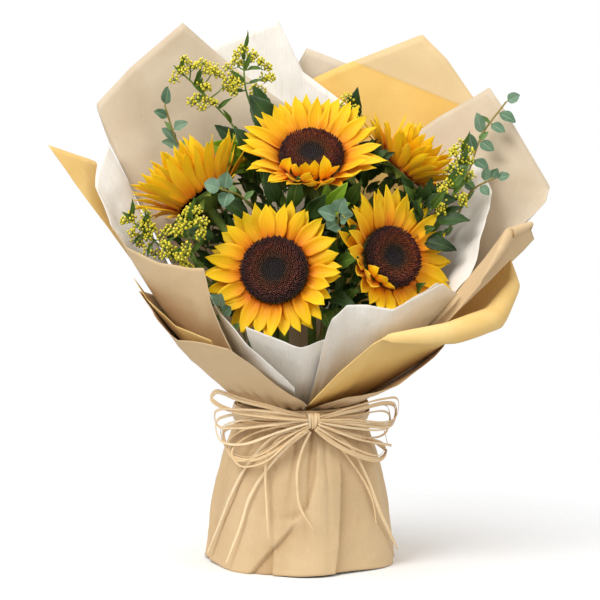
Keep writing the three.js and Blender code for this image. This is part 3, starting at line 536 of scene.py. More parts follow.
def paper_shader(name, light, dark, inside=None, fibre=0.10, crinkle_painted_light=0.0, rough=0.72, glow=0.0,
                 flap=None):
    """Wrapping paper: cloudy tone, short fibres and a fine tooth. inside is a painted shade that
    tints the sheet's low part near the tie, and flap tints what lies above a fold line that falls to
    the right. The form's own value paints shade into gathers, folds and overlaps, and tissue gets a
    painted highlight and painted shade along its crinkles."""
    s = Shader(name, rough, specular=0.22, sheen=0.05, subsurface=glow, depth=(0.004, 0.003, 0.002),
               deep=0.4)
    place = s.place()
    along, _, own = look = s.look()
    cloud = s.noise(place, 9.0, detail=5, warp=0.4)
    body = s.ramp(cloud, [(0.3, dark), (0.68, light)])
    if inside is not None:
        # painted shade: the low part of the sheet, near the tie, is tinted darker towards the inside
        # colour
        body = s.mix(s.span(along, 0.25, 0.75, 0.75, 0.0), body, inside)
    if flap is not None:
        split = s.node("SeparateXYZ")
        s.join(place, split.inputs[0])
        line = s.plus(split.outputs[2], s.times(split.outputs[0], FLAP_FALL))
        body = s.mix(s.span(line, FLAP_LEVEL - 0.001, FLAP_LEVEL + 0.001), body, flap)
        s.bump(s.span(line, FLAP_LEVEL - 0.002, FLAP_LEVEL + 0.002), 0.5, 0.8)
    # painted shade: the form's own value, how deep the paper lies in a gather, fold or overlap, darkens
    # it towards brown
    body = s.mix(s.times(own, 0.45), body, (160, 124, 80))
    fibres = s.noise(s.scaled(place, (1.0, 1.0, 0.22)), 520.0, detail=3, warp=1.5)
    body = s.mix(s.span(fibres, 0.58, 0.75, 0.0, fibre), body, (255, 250, 238))
    body = s.mix(s.span(fibres, 0.40, 0.22, 0.0, fibre * 1.2), body, (96, 70, 42))
    if crinkle_painted_light:
        long = s.noise(s.grain(look, 30.0, 4.0), 2.2, detail=6, rough=0.7, warp=0.8)
        # painted highlight and painted shade: the tissue is whiter along the crests of its crinkles and
        # grey-brown in their hollows, following the noise that bumps it
        body = s.mix(s.span(long, 0.52, 0.75, 0.0, crinkle_painted_light), body, (255, 255, 252))
        body = s.mix(s.span(long, 0.44, 0.22, 0.0, crinkle_painted_light), body, (176, 154, 124))
        s.bump(long, 0.35, 0.6)
    s.colour(body)
    s.bump(s.noise(place, 55.0, detail=4, warp=0.6), 0.22, 1.6)
    s.bump(s.noise(place, 900.0, detail=2), 0.12, 0.2)
    return s.material


def raffia_shader(name="raffia"):
    s = Shader(name, 0.42, specular=0.4, sheen=0.1)
    look = s.look()
    grain = s.noise(s.grain(look, 9.0, 5.0, 50.0), 2.0, detail=6, rough=0.65)
    tone = s.plus(s.span(grain, 0.3, 0.7, 0.0, 0.75), s.span(look[2], 0, 1, 0.0, 0.25))
    s.colour(s.ramp(tone, [(0.05, (196, 150, 94)), (0.4, (234, 200, 150)),
                           (0.8, (252, 234, 198))]))
    s.bump(grain, 0.5, 0.5)
    return s.material


def bud_shader(name, low, high):
    s = Shader(name, 0.6, specular=0.3, subsurface=0.05)
    along, _, own = s.look()
    s.colour(s.mix(s.span(along, 0.15, 0.8, 0.0, 1.0), low, s.mix(own, high, (250, 232, 90))))
    s.bump(s.noise(s.place(), 900.0), 0.3, 0.3)
    return s.material


# the folded sheet's line: its fall to the right and its height at the axis, in metres
FLAP_FALL = 0.413
FLAP_LEVEL = 0.521
PETAL = petal_shader("petal", (255, 214, 10), (255, 193, 3), (254, 160, 2),
                     (232, 112, 2))
FLORET = floret_shader()
SEED_BED = green_shader("seed_bed", (26, 12, 8), (44, 20, 12), (44, 20, 12), 0.9, veins=False)
STEM = green_shader("flower_stem", (92, 116, 44), (134, 158, 70), (150, 170, 90), 0.55,
                    veins=False)
BRACT = green_shader("bract", (66, 84, 26), (112, 134, 48), (164, 176, 96), 0.55)
DARK_LEAF = green_shader("dark_leaf", (26, 48, 14), (58, 90, 32), (74, 104, 44), 0.45,
                         coat=0.1)
MID_LEAF = green_shader("mid_leaf", (52, 84, 24), (92, 126, 40), (140, 164, 76), 0.45,
                        coat=0.1)
FRESH_LEAF = green_shader("fresh_leaf", (98, 146, 14), (150, 190, 34), (186, 212, 90), 0.45,
                          coat=0.1)
GREY_LEAF = green_shader("eucalyptus_leaf", (78, 112, 84), (128, 158, 132), (160, 184, 154),
                         0.6, specular=0.2)
SAGE_LEAF = green_shader("sage_leaf", (84, 124, 66), (136, 172, 104), (160, 186, 124), 0.55)
TWIG = green_shader("twig", (120, 110, 50), (156, 140, 76), (160, 150, 90), 0.6, veins=False)
SHOOT = green_shader("green_shoot", (84, 112, 44), (124, 148, 66), (130, 150, 80), 0.6,
                     veins=False)
BUD = bud_shader("goldenrod_bud", (150, 162, 40), (230, 206, 36))
KRAFT = paper_shader("kraft_paper", (214, 187, 146), (200, 170, 128))
TAUPE = paper_shader("taupe_paper", (212, 197, 174), (196, 177, 150), inside=(184, 152, 112),
                     rough=0.68)
GOLD = paper_shader("gold_paper", (234, 202, 136), (220, 178, 98), inside=(196, 138, 34),
                    fibre=0.05, rough=0.55)
TISSUE = paper_shader("tissue", (240, 236, 228), (224, 217, 206), fibre=0.06, crinkle_painted_light=0.35,
                      rough=0.8, glow=0.08)
FOLDED_GOLD = paper_shader("gold_paper_folded", (230, 190, 108), (216, 168, 78), fibre=0.05,
                           rough=0.55, flap=(214, 186, 138))
RAFFIA = raffia_shader()
TWINE = raffia_shader("twine")
PAINTS = {"kraft": KRAFT, "taupe": TAUPE, "gold": GOLD, "tissue": TISSUE}


# ------------------------------------------------------------ camera
def camera():
    data = bpy.data.cameras.new("camera")
    data.sensor_width = 36
    data.lens = CAMERA_LENS
    data.clip_start = 0.1
    data.clip_end = 60
    ob = bpy.data.objects.new("camera", data)
    bpy.context.scene.collection.objects.link(ob)
    low, high = CAD_BOX
    target = Vector(((low[0] + high[0]) / 2, (low[1] + high[1]) / 2, CAMERA_AIM))
    way = Vector((0, -math.cos(CAMERA_TILT), math.sin(CAMERA_TILT)))
    ob.location = target + way * CAMERA_DISTANCE
    ob.rotation_euler = (-way).to_track_quat("-Z", "Y").to_euler()
    bpy.context.scene.camera = ob


CAMERA_LENS = 132
CAMERA_AIM = 0.259                # height of the place it looks at, in metres
CAMERA_TILT = math.radians(5.5)
CAMERA_DISTANCE = 2.2
camera()


# ------------------------------------------------------------ raffia
def skirt_radius(bearing, z):
    """The CAD skirt's outer radius at a bearing and a height."""
    t = np.clip(z / (TIE_HEIGHT - BAND_HEIGHT / 2 - 1), 0, 1)
    flare = SKIRT_HEM + (SKIRT_NECK - SKIRT_HEM) * (0.42 * t + 0.58 * t ** 3)
    b = np.radians(bearing)
    wave = np.sin(b * SKIRT_PLEATS + 0.6) + 0.5 * np.sin(b * 4 + 2)
    return flare + PLEAT_DEPTH * 0.7 * wave * (1 - t) ** 0.6


def on_skirt(x, up, off):
    """A place in front of the skirt: sideways, height above the tie, stand-off."""
    z = TIE_HEIGHT + up
    bearing = 0.0
    for _ in range(8):
        ring = BAND_OUT if z > TIE_HEIGHT - BAND_HEIGHT else 0
        r = max(float(skirt_radius(bearing, z)), ring) + off
        bearing = math.degrees(math.asin(min(max(x / r, -0.98), 0.98)))
    return around(bearing, r, z)


def outwards(line):
    """The level directions away from the axis at the points of a line."""
    n = line.copy()
    n[:, 2] = 0
    return n / np.maximum(np.linalg.norm(n, axis=1), 1e-9)[:, None]


# routes round the bow: sideways, height above the tie, stand-off from the skirt
LOOPS = {
    "left_upper": [
        (8, 2, 8), (-25, 13, 18), (-58, 20, 22), (-84, 23, 22), (-88, 16, 24), (-66, 8, 24),
        (-25, 4, 20), (6, 1, 13)],
    "left_lower": [
        (8, -3, 6), (-30, -4, 8), (-66, -10, 10), (-77, -19, 12), (-66, -38, 14), (-42, -37, 14),
        (-14, -22, 12), (7, -6, 10)],
    "right_upper": [
        (14, 2, 8), (50, 10, 17), (84, 12, 22), (104, 5, 26), (104, -9, 24), (84, -11, 22),
        (50, -3, 17), (17, 0, 12)],
    "right_lower": [
        (13, -4, 6), (48, -14, 8), (74, -28, 8), (84, -38, 10), (74, -42, 13), (50, -33, 13),
        (26, -18, 12), (14, -7, 11)],
}
TAILS = {
    "1": [
        (4, -7, 10), (-24, -16, 6), (-46, -37, 4), (-63, -64, 4), (-80, -106, 4), (-93, -140, 4.5)],
    "2": [
        (8, -9, 9), (-12, -25, 5), (-31, -46, 3.6), (-49, -74, 3.6), (-58, -102, 3.6),
        (-73, -142, 3.6)],
    "3": [
        (5, -9, 13), (-20, -16, 10), (-33, -32, 7), (-35, -54, 6), (-33, -86, 6), (-31, -112, 6)],
    "4": [
        (9, -10, 9), (2, -26, 4.4), (-3, -46, 3.6), (-3, -66, 3.6), (0, -82, 3.6), (13, -104, 3.6)],
    "5": [
        (14, -9, 9), (32, -22, 4.6), (52, -47, 3.6), (64, -66, 3.6), (71, -84, 3.6), (74, -104, 3.6)],
    "6": [
        (17, -6, 13), (46, -25, 7), (64, -58, 4.6), (76, -90, 4.6), (89, -120, 4.6), (104, -138, 4.6)],
}
# single strands beside the main loops
FINE_LOOPS = {
    "left_1": [
        (8, 1, 11), (-30, 4, 16), (-62, -2, 18), (-79, -14, 18), (-74, -30, 16), (-50, -36, 15),
        (-18, -18, 14), (7, -4, 13)],
    "left_2": [
        (7, 0, 9), (-28, -2, 11), (-58, -12, 12), (-72, -26, 14), (-62, -40, 16), (-38, -32, 15),
        (-12, -14, 13), (7, -3, 12)],
    "left_3": [
        (7, 3, 10), (-28, 10, 22), (-60, 11, 27), (-84, 4, 26), (-82, -10, 21), (-60, -9, 19),
        (-26, -3, 17), (7, 2, 14)],
    "left_4": [
        (8, -2, 8), (-22, -6, 10), (-52, -18, 12), (-67, -32, 15), (-58, -44, 18), (-34, -38, 17),
        (-10, -18, 14), (8, -5, 12)],
    "left_5": [
        (8, 3, 9), (-30, 7, 13), (-64, 4, 16), (-84, -8, 20), (-80, -24, 20), (-56, -24, 18),
        (-22, -10, 16), (7, -1, 14)],
    "right_1": [
        (14, 2, 10), (48, 13, 21), (80, 18, 26), (100, 12, 29), (103, -2, 28), (82, -6, 25),
        (48, 1, 20), (16, 1, 13)],
    "right_2": [
        (14, 0, 9), (50, 4, 15), (80, 4, 19), (96, -5, 20), (88, -19, 18), (62, -19, 16), (34, -9, 14),
        (16, -2, 13)],
    "right_3": [
        (15, -3, 8), (44, -8, 12), (78, -13, 15), (98, -20, 16), (99, -33, 15), (90, -33, 18),
        (54, -19, 18), (17, -3, 15)],
    "right_4": [
        (14, 3, 9), (46, 8, 13), (78, 10, 16), (98, 4, 19), (100, -10, 21), (80, -14, 20), (46, -7, 17),
        (17, -1, 14)],
    "right_5": [
        (14, -2, 8), (42, -12, 10), (68, -22, 11), (82, -30, 13), (76, -38, 16), (52, -28, 17),
        (28, -14, 15), (15, -5, 13)],
}
FINE_DIAMETER = 2.6


def strands(run, diameter, count, seed, width, taper=0.0):
    """One cord of flat strands that lie round the same route."""
    route = spline([on_skirt(*p) for p in run], 90)
    out = outwards(route)
    _, n, b = frames(route, out)
    u = np.linspace(0, 1, len(route))
    build = Build()
    room = diameter / 2 - 0.9
    for k in range(count):
        phase = 2 * math.pi * (k / count + vary(seed, k))
        drift = phase + (2.2 + vary(seed, k + 5)) * u
        line = route + n * (room * 0.6 * np.sin(drift))[:, None]
        line = line + b * (room * np.cos(drift))[:, None]
        ribbon(build, line, out, width * (0.85 + 0.3 * vary(seed, k + 9)), RIBBON_THICKNESS,
               turn=0.5 * math.sin(seed + k), twist=1.6 * (vary(seed, k + 2) - 0.5), seed=seed + k,
               taper=taper)
    return route, build


def raffia_cords():
    for i, (key, run) in enumerate(LOOPS.items()):
        name = "raffia_loop_" + key
        route, build = strands(run, LOOP_DIAMETER, 5, i + 1, 2.5)
        ob = build.piece(name + "_strands", [RAFFIA], "raffia", replaces=(name,))
    for i, (key, run) in enumerate(FINE_LOOPS.items()):
        route, build = strands(run, FINE_DIAMETER, 1, i + 21, 2.4)
        ob = build.piece("raffia_strand_" + key, [RAFFIA], "raffia")
    for i, (key, run) in enumerate(TAILS.items()):
        name = "raffia_tail_" + key
        route, build = strands(run, TAIL_DIAMETER, 2 if i in (0, 1, 5) else 1, i + 41, 2.6, taper=0.5)
        ob = build.piece(name + "_strands", [RAFFIA], "raffia", replaces=(name,))


def raffia_band():
    """Flat strands wound side by side round the neck."""
    build = Build()
    b = np.linspace(0, 360, 145)[:-1]
    for k in range(BAND_TURNS):
        level = (k + 0.5) / BAND_TURNS - 0.5
        tilt = 1.6 * math.sin(k * 2.4)
        radius = (NECK_OUT + BAND_OUT) / 2 + 1.4 * math.sin(k * 1.7) * (1 - abs(level))
        wave = 0.5 * np.sin(np.radians(b) * 5 + k)
        z = TIE_HEIGHT + level * (BAND_HEIGHT - 2) + tilt * np.sin(np.radians(b) + k) + wave
        line = around(b, radius + 0.4 * np.sin(np.radians(b) * 3 + k), z)
        ribbon(build, line, outwards(line), 3.2, 0.6, turn=0.35 * math.sin(k * 1.3), seed=k,
               shut=True)
    build.piece("raffia_turns", [RAFFIA], "raffia", replaces=("raffia_band",))


def raffia_knot():
    """Strands wound tightly over the band, top to bottom."""
    build = Build()
    middle = around(KNOT_BEARING, BAND_OUT + KNOT_DEPTH / 2 + 0.32, TIE_HEIGHT)
    out = unit([middle[0], middle[1], 0])
    side = np.array([-out[1], out[0], 0])
    a = np.linspace(0, 2 * math.pi, 41)[:-1]
    for k in range(KNOT_TURNS):
        x = (k / (KNOT_TURNS - 1) - 0.5) * (KNOT_WIDTH - 4)
        size = 1 - 0.10 * (abs(x) / (KNOT_WIDTH / 2)) - 0.12 * (k % 2)
        deep = (KNOT_DEPTH / 2 - 1) * size
        tall = (KNOT_HEIGHT / 2 - 0.8) * size
        lean = 0.10 * math.sin(k * 2.1)
        rim = np.outer(np.cos(a), out) * deep + np.outer(np.sin(a), [0, 0, 1]) * tall
        line = middle + rim + side * (x + lean * np.sin(a) * tall)[:, None]
        ribbon(build, line, line - middle - side * x, 2.9, 0.8, turn=0.2 * math.sin(k), seed=k + 60,
               shut=True)
    core = [middle + side * s * (KNOT_WIDTH / 2 - 2.5) for s in (-1, -0.5, 0, 0.5, 1)]
    tube(build, np.array(core), KNOT_DEPTH / 2 - 2.2, 12, across=0.3)
    build.piece("raffia_knot_turns", [RAFFIA], "raffia", replaces=("raffia_knot",))


raffia_cords()
raffia_band()
raffia_knot()


# ------------------------------------------------------------ papers
# the CAD model's sheets. layer: place in the stack at both side edges; columns: bearing at the
# tie, the rim's x, y and height above the tie, and the belly; fold: depth of the long soft
# folds; crease: of the small dents; gather: of the folds that leave the tie; roll: radius of
# the cuff and the share of the rim where it starts and ends
PAPERS = [
    dict(name="wrap_taupe_back_left", colour="taupe", layer=(7, 9), fold=2.0, crease=1.2,
         columns=[
             (-95, -195, 62, 265, 4), (-101, -209, 70, 303, 5), (-114, -174, 88, 342, 9),
             (-130, -122, 106, 387, 12), (-150, -71, 110, 343, 10), (-180, 0, 106, 292, 4),
             (-197, 31, 98, 255, 3)]),
    dict(name="tissue_back", colour="tissue", layer=(11, 11), fold=1.8, crease=1.6,
         columns=[
             (-142, -112, 124, 340, 12), (-152, -84, 126, 370, 12), (-170, -25, 132, 393, 8),
             (-184, 2, 124, 337, 6), (-200, 48, 112, 302, 4)]),
    dict(name="wrap_gold_left", colour="gold", layer=(10, 12.5), fold=1.2, crease=0.7,
         columns=[
             (-84, -251, 8, 264, 5), (-92, -226, 24, 254, 6), (-99, -208, 42, 246, 9),
             (-110, -202, 86, 228, 10)]),
    dict(name="tissue_left", colour="tissue", layer=(5, 10), fold=2.2, crease=1.8,
         columns=[
             (-70, -164, -22, 150, 3), (-76, -188, -10, 186, 3), (-83, -204, 3, 223, 5),
             (-89, -203, 16, 245, 6), (-97, -195, 34, 267, 7), (-106, -191, 60, 246, 7)]),
    dict(name="wrap_taupe_peak", colour="taupe", layer=(13, 13), fold=1.2, crease=0.8,
         columns=[
             (184, -3, 148, 346, 11), (178, 6, 151, 362, 11), (161, 52, 150, 344, 11),
             (144, 107, 147, 318, 12)]),
    dict(name="wrap_gold_back_right", colour="gold", layer=(12, 10), fold=2.0, crease=0.9,
         columns=[
             (176, 8, 138, 328, 9), (165, 40, 138, 342, 9), (142, 126, 128, 376, 8),
             (130, 152, 116, 349, 7), (121, 178, 101, 310, 6), (112, 189, 88, 267, 5)]),
    dict(name="wrap_taupe_right", colour="taupe", layer=(8.5, 5.5), fold=2.4, crease=1.4,
         columns=[
             (128, 122, 100, 276, 6), (121, 149, 90, 296, 6), (110, 192, 72, 321, 5),
             (102, 206, 54, 298, 5), (92, 249, 22, 222, 4), (86, 243, 9, 209, 4), (78, 220, -8, 185, 6),
             (71, 200, -26, 159, 6)]),
    dict(name="tissue_right", colour="tissue", layer=(6, 4), fold=2.2, crease=1.8,
         columns=[
             (112, 158, 62, 262, 4), (101, 180, 40, 243, 4), (90, 191, 12, 217, 6),
             (79, 181, -8, 195, 8), (68, 175, -28, 164, 8), (60, 165, -44, 136, 7)]),
    dict(name="wrap_kraft_scroll_right", colour="kraft", layer=(6, 9), fold=1.2,
         crease=0.7, roll=(4.5, 0.05, 0.85),
         columns=[
             (60, 170, -100, 132, 11), (64, 186, -82, 164, 10), (68, 196, -60, 184, 9),
             (76, 222, -38, 189, 7), (83, 229, -16, 172, 6)]),
    dict(name="wrap_gold_front_right", colour="gold", layer=(10, 8), fold=1.0,
         crease=0.5, roll=(10, 0.0, 0.62),
         columns=[
             (73, 204, -34, 153, 4), (66, 200, -62, 134, 6), (57, 176, -90, 110, 10),
             (46, 133, -112, 96, 12), (35, 81, -126, 89, 12), (27, 67, -129, 80, 12),
             (16, 36, -112, 52, 6), (5, 8, -80, 18, 1)]),
    dict(name="wrap_kraft_front_right", colour="kraft", layer=(12, 12), fold=1.6, crease=1.0, gather=2.4,
         columns=[
             (8, 26, -80, 18, 0), (22, 58, -92, 26, 1), (36, 92, -104, 40, 3), (48, 116, -98, 56, 4),
             (60, 138, -76, 72, 4), (76, 144, -38, 76, 5), (90, 140, 0, 72, 5), (104, 126, 26, 64, 4)]),
    dict(name="wrap_kraft_front_left_upper", colour="kraft", layer=(9, 9), fold=1.8, crease=0.9,
         columns=[
             (-84, -186, -18, 185, 10), (-73, -169, -44, 167, 12), (-61, -136, -82, 153, 15),
             (-49, -106, -108, 151, 18), (-41, -91, -119, 152, 18), (-31, -84, -121, 120, 14),
             (-20, -71, -120, 77, 8), (-8, -34, -98, 40, 2)]),
    dict(name="wrap_kraft_front_left_lower", colour="kraft", layer=(13, 13), fold=2.2,
         crease=1.2, gather=3.2,
         columns=[
             (-92, -142, 6, 112, 4), (-76, -158, -42, 123, 5), (-63, -141, -78, 103, 6),
             (-50, -116, -104, 83, 7), (-38, -82, -124, 78, 8), (-30, -69, -129, 77, 8),
             (-18, -38, -114, 53, 5), (-8, -10, -94, 28, 2), (2, 5, -80, 14, 0)]),
    dict(name="wrap_gold_sliver_left", colour="gold", layer=(11, 11), fold=0.6, crease=0.4,
         columns=[
             (-80, -164, -32, 135, 5), (-66, -149, -66, 118, 6), (-51, -120, -98, 95, 7),
             (-38, -85, -118, 83, 8)]),
    dict(name="tissue_front", colour="tissue", layer=(3, 3), fold=1.6, crease=1.4,
         columns=[
             (-38, -52, -100, 95, 4), (-27, -36, -107, 87, 4), (-4, 0, -111, 76, 3),
             (12, 28, -109, 84, 2), (34, 72, -104, 99, 3), (58, 132, -72, 133, 2),
             (68, 146, -50, 120, 2)]),
    dict(name="tissue_front_flap", colour="tissue", layer=(5, 5), fold=1.6, crease=1.4,
         columns=[
             (6, 22, -120, 79, 7), (13, 29, -120, 104, 11), (20, 43, -121, 117, 14),
             (30, 62, -122, 117, 14), (40, 87, -117, 112, 14), (56, 134, -92, 136, 10),
             (64, 151, -74, 122, 7)]),
    dict(name="tissue_front_left", colour="tissue", layer=(6, 6), fold=1.4, crease=1.2,
         columns=[
             (-60, -92, -90, 134, 5), (-48, -77, -105, 108, 6), (-34, -54, -119, 82, 6),
             (-20, -26, -116, 58, 4), (-8, -6, -101, 36, 1)]),
]
PAPER_GRID = (64, 46)


def columns_at(columns, s, soft):
    """The sheet's column values at s. soft 0 runs straight from column to column and keeps the
    rim's corners, soft 1 runs smoothly."""
    c = np.asarray(columns, float)
    k = np.clip(s * (len(c) - 1), 0, len(c) - 1)
    i = np.minimum(k.astype(int), len(c) - 2)
    f = (k - i)[:, None]
    straight = c[i] * (1 - f) + c[i + 1] * f
    m0 = (c[i + 1] - c[np.maximum(i - 1, 0)]) / 2
    m1 = (c[np.minimum(i + 2, len(c) - 1)] - c[i]) / 2
    h = ((2 * f ** 3 - 3 * f ** 2 + 1) * c[i] + (f ** 3 - 2 * f ** 2 + f) * m0
         + (3 * f ** 2 - 2 * f ** 3) * c[i + 1] + (f ** 3 - f ** 2) * m1)
    return straight + (h - straight) * soft[:, None]


def paper_points(sheet, s, t):
    """Points of a sheet: s from 0 to 1 across it, t from its foot to its rim."""
    soft = 1 - smoothstep(0.7, 1.0, t)
    values = columns_at(sheet["columns"], s, soft)
    bearing, x, y, up, belly = values.T
    first, last = sheet["layer"]
    low = around(bearing, PAPER_RINGS + PAPER_PITCH * (first + (last - first) * s), PAPER_BREAK)
    split = 1 / PAPER_ROWS
    rim = np.stack([x, y, up + TIE_HEIGHT], axis=1)
    middle = (low + rim) / 2
    away = outwards(middle)
    middle = middle + away * 2 * belly[:, None]
    q = np.clip((t - split) / (1 - split), 0, 1)[:, None]
    p = low * (1 - q) ** 2 + middle * 2 * q * (1 - q) + rim * q ** 2
    foot = t <= split
    p[foot] = low[foot]
    start = TIE_HEIGHT - PAPER_TUCK
    p[foot, 2] = start + (PAPER_BREAK - start) * t[foot] / split
    return p


def creased(points, scale, seed):
    """Sharp-edged dents, from -1 to 1, as in handled paper."""
    out = np.empty(len(points))
    for i, p in enumerate(points / scale + np.array([7.3, -3.1, 1.0]) * seed):
        v = Vector(p)
        out[i] = 1 - 2.6 * abs(noise.noise(v)) - 1.1 * abs(noise.noise(v * 2.3))
    return out


ROLL_STEPS = 12
ROLL_TURN = 3.3                   # how far a cuff turns, in radians


def rolled(grid, out, roll, look):
    """The sheet with its rim rolled outwards into a cuff: its radius and the share of the rim
    that it runs over."""
    radius, first, last = roll
    rim = grid[-1]
    up = rim - grid[-2]
    up /= np.linalg.norm(up, axis=1)[:, None]
    s = np.linspace(0, 1, len(rim))
    share = np.clip((s - first) / (last - first), 0, 1)
    r = radius * (0.04 + 0.96 * np.sin(np.pi * share ** 1.25) ** 0.8)
    rows = [grid.reshape(-1, 3)]
    looks = [look]
    for k in range(1, ROLL_STEPS + 1):
        a = ROLL_TURN * k / ROLL_STEPS
        open_up = 1 + 0.25 * k / ROLL_STEPS
        r_now = (r * open_up)[:, None]
        rows.append(rim + up * math.sin(a) * r_now + out * (1 - math.cos(a)) * r_now)
        looks.append(look_of([1.0], s, 0.0))
    return np.concatenate(rows), np.concatenate(looks)


def wrapping_paper(sheet, number):
    """One sheet, with its folds, gathers and dents: the piece, its grid, width and height."""
    sheet = {"gather": 0.8, "roll": None, **sheet}
    across, rows = PAPER_GRID
    t0 = np.concatenate([np.linspace(0, 0.2, 7)[:-1], np.linspace(0.2, 1, rows - 5)])
    s, t = [v.ravel() for v in np.meshgrid(np.linspace(0, 1, across + 1), t0)]
    p = paper_points(sheet, s, t)
    grid = p.reshape(len(t0), across + 1, 3)
    normal = np.cross(np.gradient(grid, axis=1), np.gradient(grid, axis=0)).reshape(-1, 3)
    normal /= np.maximum(np.linalg.norm(normal, axis=1), 1e-9)[:, None]
    normal *= np.sign((normal * p * (1, 1, 0)).sum(1))[:, None]
    seed = number * 1.37 + 1
    wide = len(sheet["columns"])
    gather = np.abs(np.sin(s * wide * 3.1 + seed)) - 0.5
    near = smoothstep(0.17, 0.30, t) * (1 - smoothstep(0.30, 0.62, t))
    long = np.sin(s * wide * 1.5 + seed * 2) * 0.6 + np.sin(s * wide * 2.9 + seed) * 0.4
    high = smoothstep(0.25, 0.8, t)
    shift = gather * near * sheet["gather"] + long * high * sheet["fold"]
    dents = creased(p, PAPER_DENTS, seed)
    shift = shift + (dents - dents.mean()) * high * sheet["crease"]
    p = p + normal * shift[:, None]
    # painted shade: how deep a point lies in the hollow of a gather near the tie, which darkens the paper
    # there
    shade = np.clip(-gather, 0, 1) * near * 0.9 * min(1.0, sheet["gather"])
    look = np.stack([t, s, shade], axis=1)
    rows_made = len(t0)
    if sheet["roll"]:
        grid = p.reshape(rows_made, across + 1, 3)
        p, look = rolled(grid, normal.reshape(rows_made, across + 1, 3)[-1], sheet["roll"], look)
        rows_made += ROLL_STEPS
    build = Build()
    build.add(p, grid_faces(rows_made - 1, across), look)
    slot = {"kraft": "kraft_paper", "taupe": "taupe_paper", "gold": "gold_paper", "tissue": "tissue"}
    paint = FOLDED_GOLD if sheet["name"] == "wrap_gold_back_right" else PAINTS[sheet["colour"]]
    ob = build.piece(sheet["name"] + "_sheet", [paint], slot[sheet["colour"]],
                     replaces=(sheet["name"],), thick=PAPER_THICKNESS)
    grid = p.reshape(rows_made, across + 1, 3)
    height = max(length_of(grid[:, j]) for j in range(0, across + 1, 8))
    width = max(length_of(grid[i]) for i in range(0, rows_made, 5))
    return ob, grid, width, height


# the innermost paper's distance from the axis, by bearing and height
WALL_DEGREES = 5
WALL_STEP = 8.0
WALL = np.full((360 // WALL_DEGREES, 80), 1e9)


def wall_cells(p):
    """The cells of WALL that points lie in, and the points' distance from the axis."""
    b = (np.degrees(np.arctan2(p[:, 0], -p[:, 1])) % 360 / WALL_DEGREES).astype(int)
    z = np.clip(p[:, 2] / WALL_STEP, 0, WALL.shape[1] - 1).astype(int)
    return b, z, np.hypot(p[:, 0], p[:, 1])


def note_wall(grid):
    """Remembers how near the axis a sheet comes."""
    b, z, r = wall_cells(grid.reshape(-1, 3))
    for turn in (-1, 0, 1):
        for up in (-1, 0, 1):
            cell = ((b + turn) % WALL.shape[0], np.clip(z + up, 0, WALL.shape[1] - 1))
            np.minimum.at(WALL, cell, r)


for paper_number, paper_sheet in enumerate(PAPERS):
    paper_piece, paper_grid, paper_width, paper_height = wrapping_paper(paper_sheet, paper_number)
    note_wall(paper_grid)


# ------------------------------------------------------------ skirt
# overlaps of the skirt's paper: places on the edge as (sideways, height), the drop behind the
# edge in millimetres, how many degrees it fades over, and the side that lies lower
OVERLAPS = [
    {"edge": [(-3, 56), (-20, 36), (-38, 17), (-55, -4)], "drop": 4.6, "fade": 14, "side": 1},
    {"edge": [(-27, 38), (-28, 20), (-28, -4)], "drop": 4.0, "fade": 9, "side": -1},
    {"edge": [(38, 112), (39, 60), (36, 20), (33, -4)], "drop": 4.4, "fade": 15, "side": 1},
    {"edge": [(16, 134), (16, 98), (8, 66), (-10, 54)], "drop": 4.2, "fade": 10, "side": -1},
    {"edge": [(-62, 118), (-74, 70), (-88, 30), (-93, -4)], "drop": 2.0, "fade": 14, "side": -1},
]
# soft folds that fall from the neck: bearing at the neck, bearing at the hem, depth, width
FOLDS = [
    (-70, -78, 3.0, 6), (-40, -60, 2.6, 4), (-14, -30, 3.6, 4), (-3, -12, 3.4, 3),
    (9, 2, 3.8, 3), (20, 17, 2.8, 3), (52, 60, 2.8, 5), (72, 82, 3.0, 6),
    (92, 96, 2.6, 8), (120, 116, 2.2, 7), (146, 150, 2.8, 8), (172, 168, 2.2, 6), (198, 204, 2.6, 8),
    (226, 222, 2.0, 7), (252, 258, 2.4, 7),
]


def wrapped(angle):
    """An angle in degrees brought to between -180 and 180."""
    return (angle + 180) % 360 - 180


def skirt_bearing(x, z):
    """The bearing at which the skirt's front face lies x to the side."""
    b = 0.0
    for _ in range(6):
        share = x / float(skirt_radius(b, max(z, 0)))
        b = math.degrees(math.asin(max(-0.985, min(0.985, share))))
    return b


def skirt_relief(b, z):
    """How far the skirt's paper lies inside the CAD skirt's outer face."""
    relief = np.zeros_like(b)
    t = np.clip(z / 140, 0, 1)
    for top, hem, depth, width in FOLDS:
        middle = hem + (top - hem) * t ** 1.4
        wide = width * (1.9 - 1.1 * t)
        off = np.abs(wrapped(b - middle)) / wide
        relief += depth * (0.12 + 0.88 * t ** 1.5) * np.exp(-off ** 1.3 * 1.6)
    for fold in OVERLAPS:
        edge = np.array([(z0, skirt_bearing(x, z0)) for x, z0 in fold["edge"]])[::-1]
        line = np.interp(z, edge[:, 0], edge[:, 1])
        inside = smoothstep(edge[0, 0] - 1, edge[0, 0] + 3, z) if edge[0, 0] > 0 else 1.0
        inside = inside * (1 - smoothstep(edge[-1, 0] - 16, edge[-1, 0], z))
        off = wrapped(b - line) * fold["side"]
        step = smoothstep(-0.1, 0.9, off) * np.exp(-np.maximum(off, 0) / fold["fade"])
        relief += fold["drop"] * inside * step
    return np.minimum(relief, 6.5)


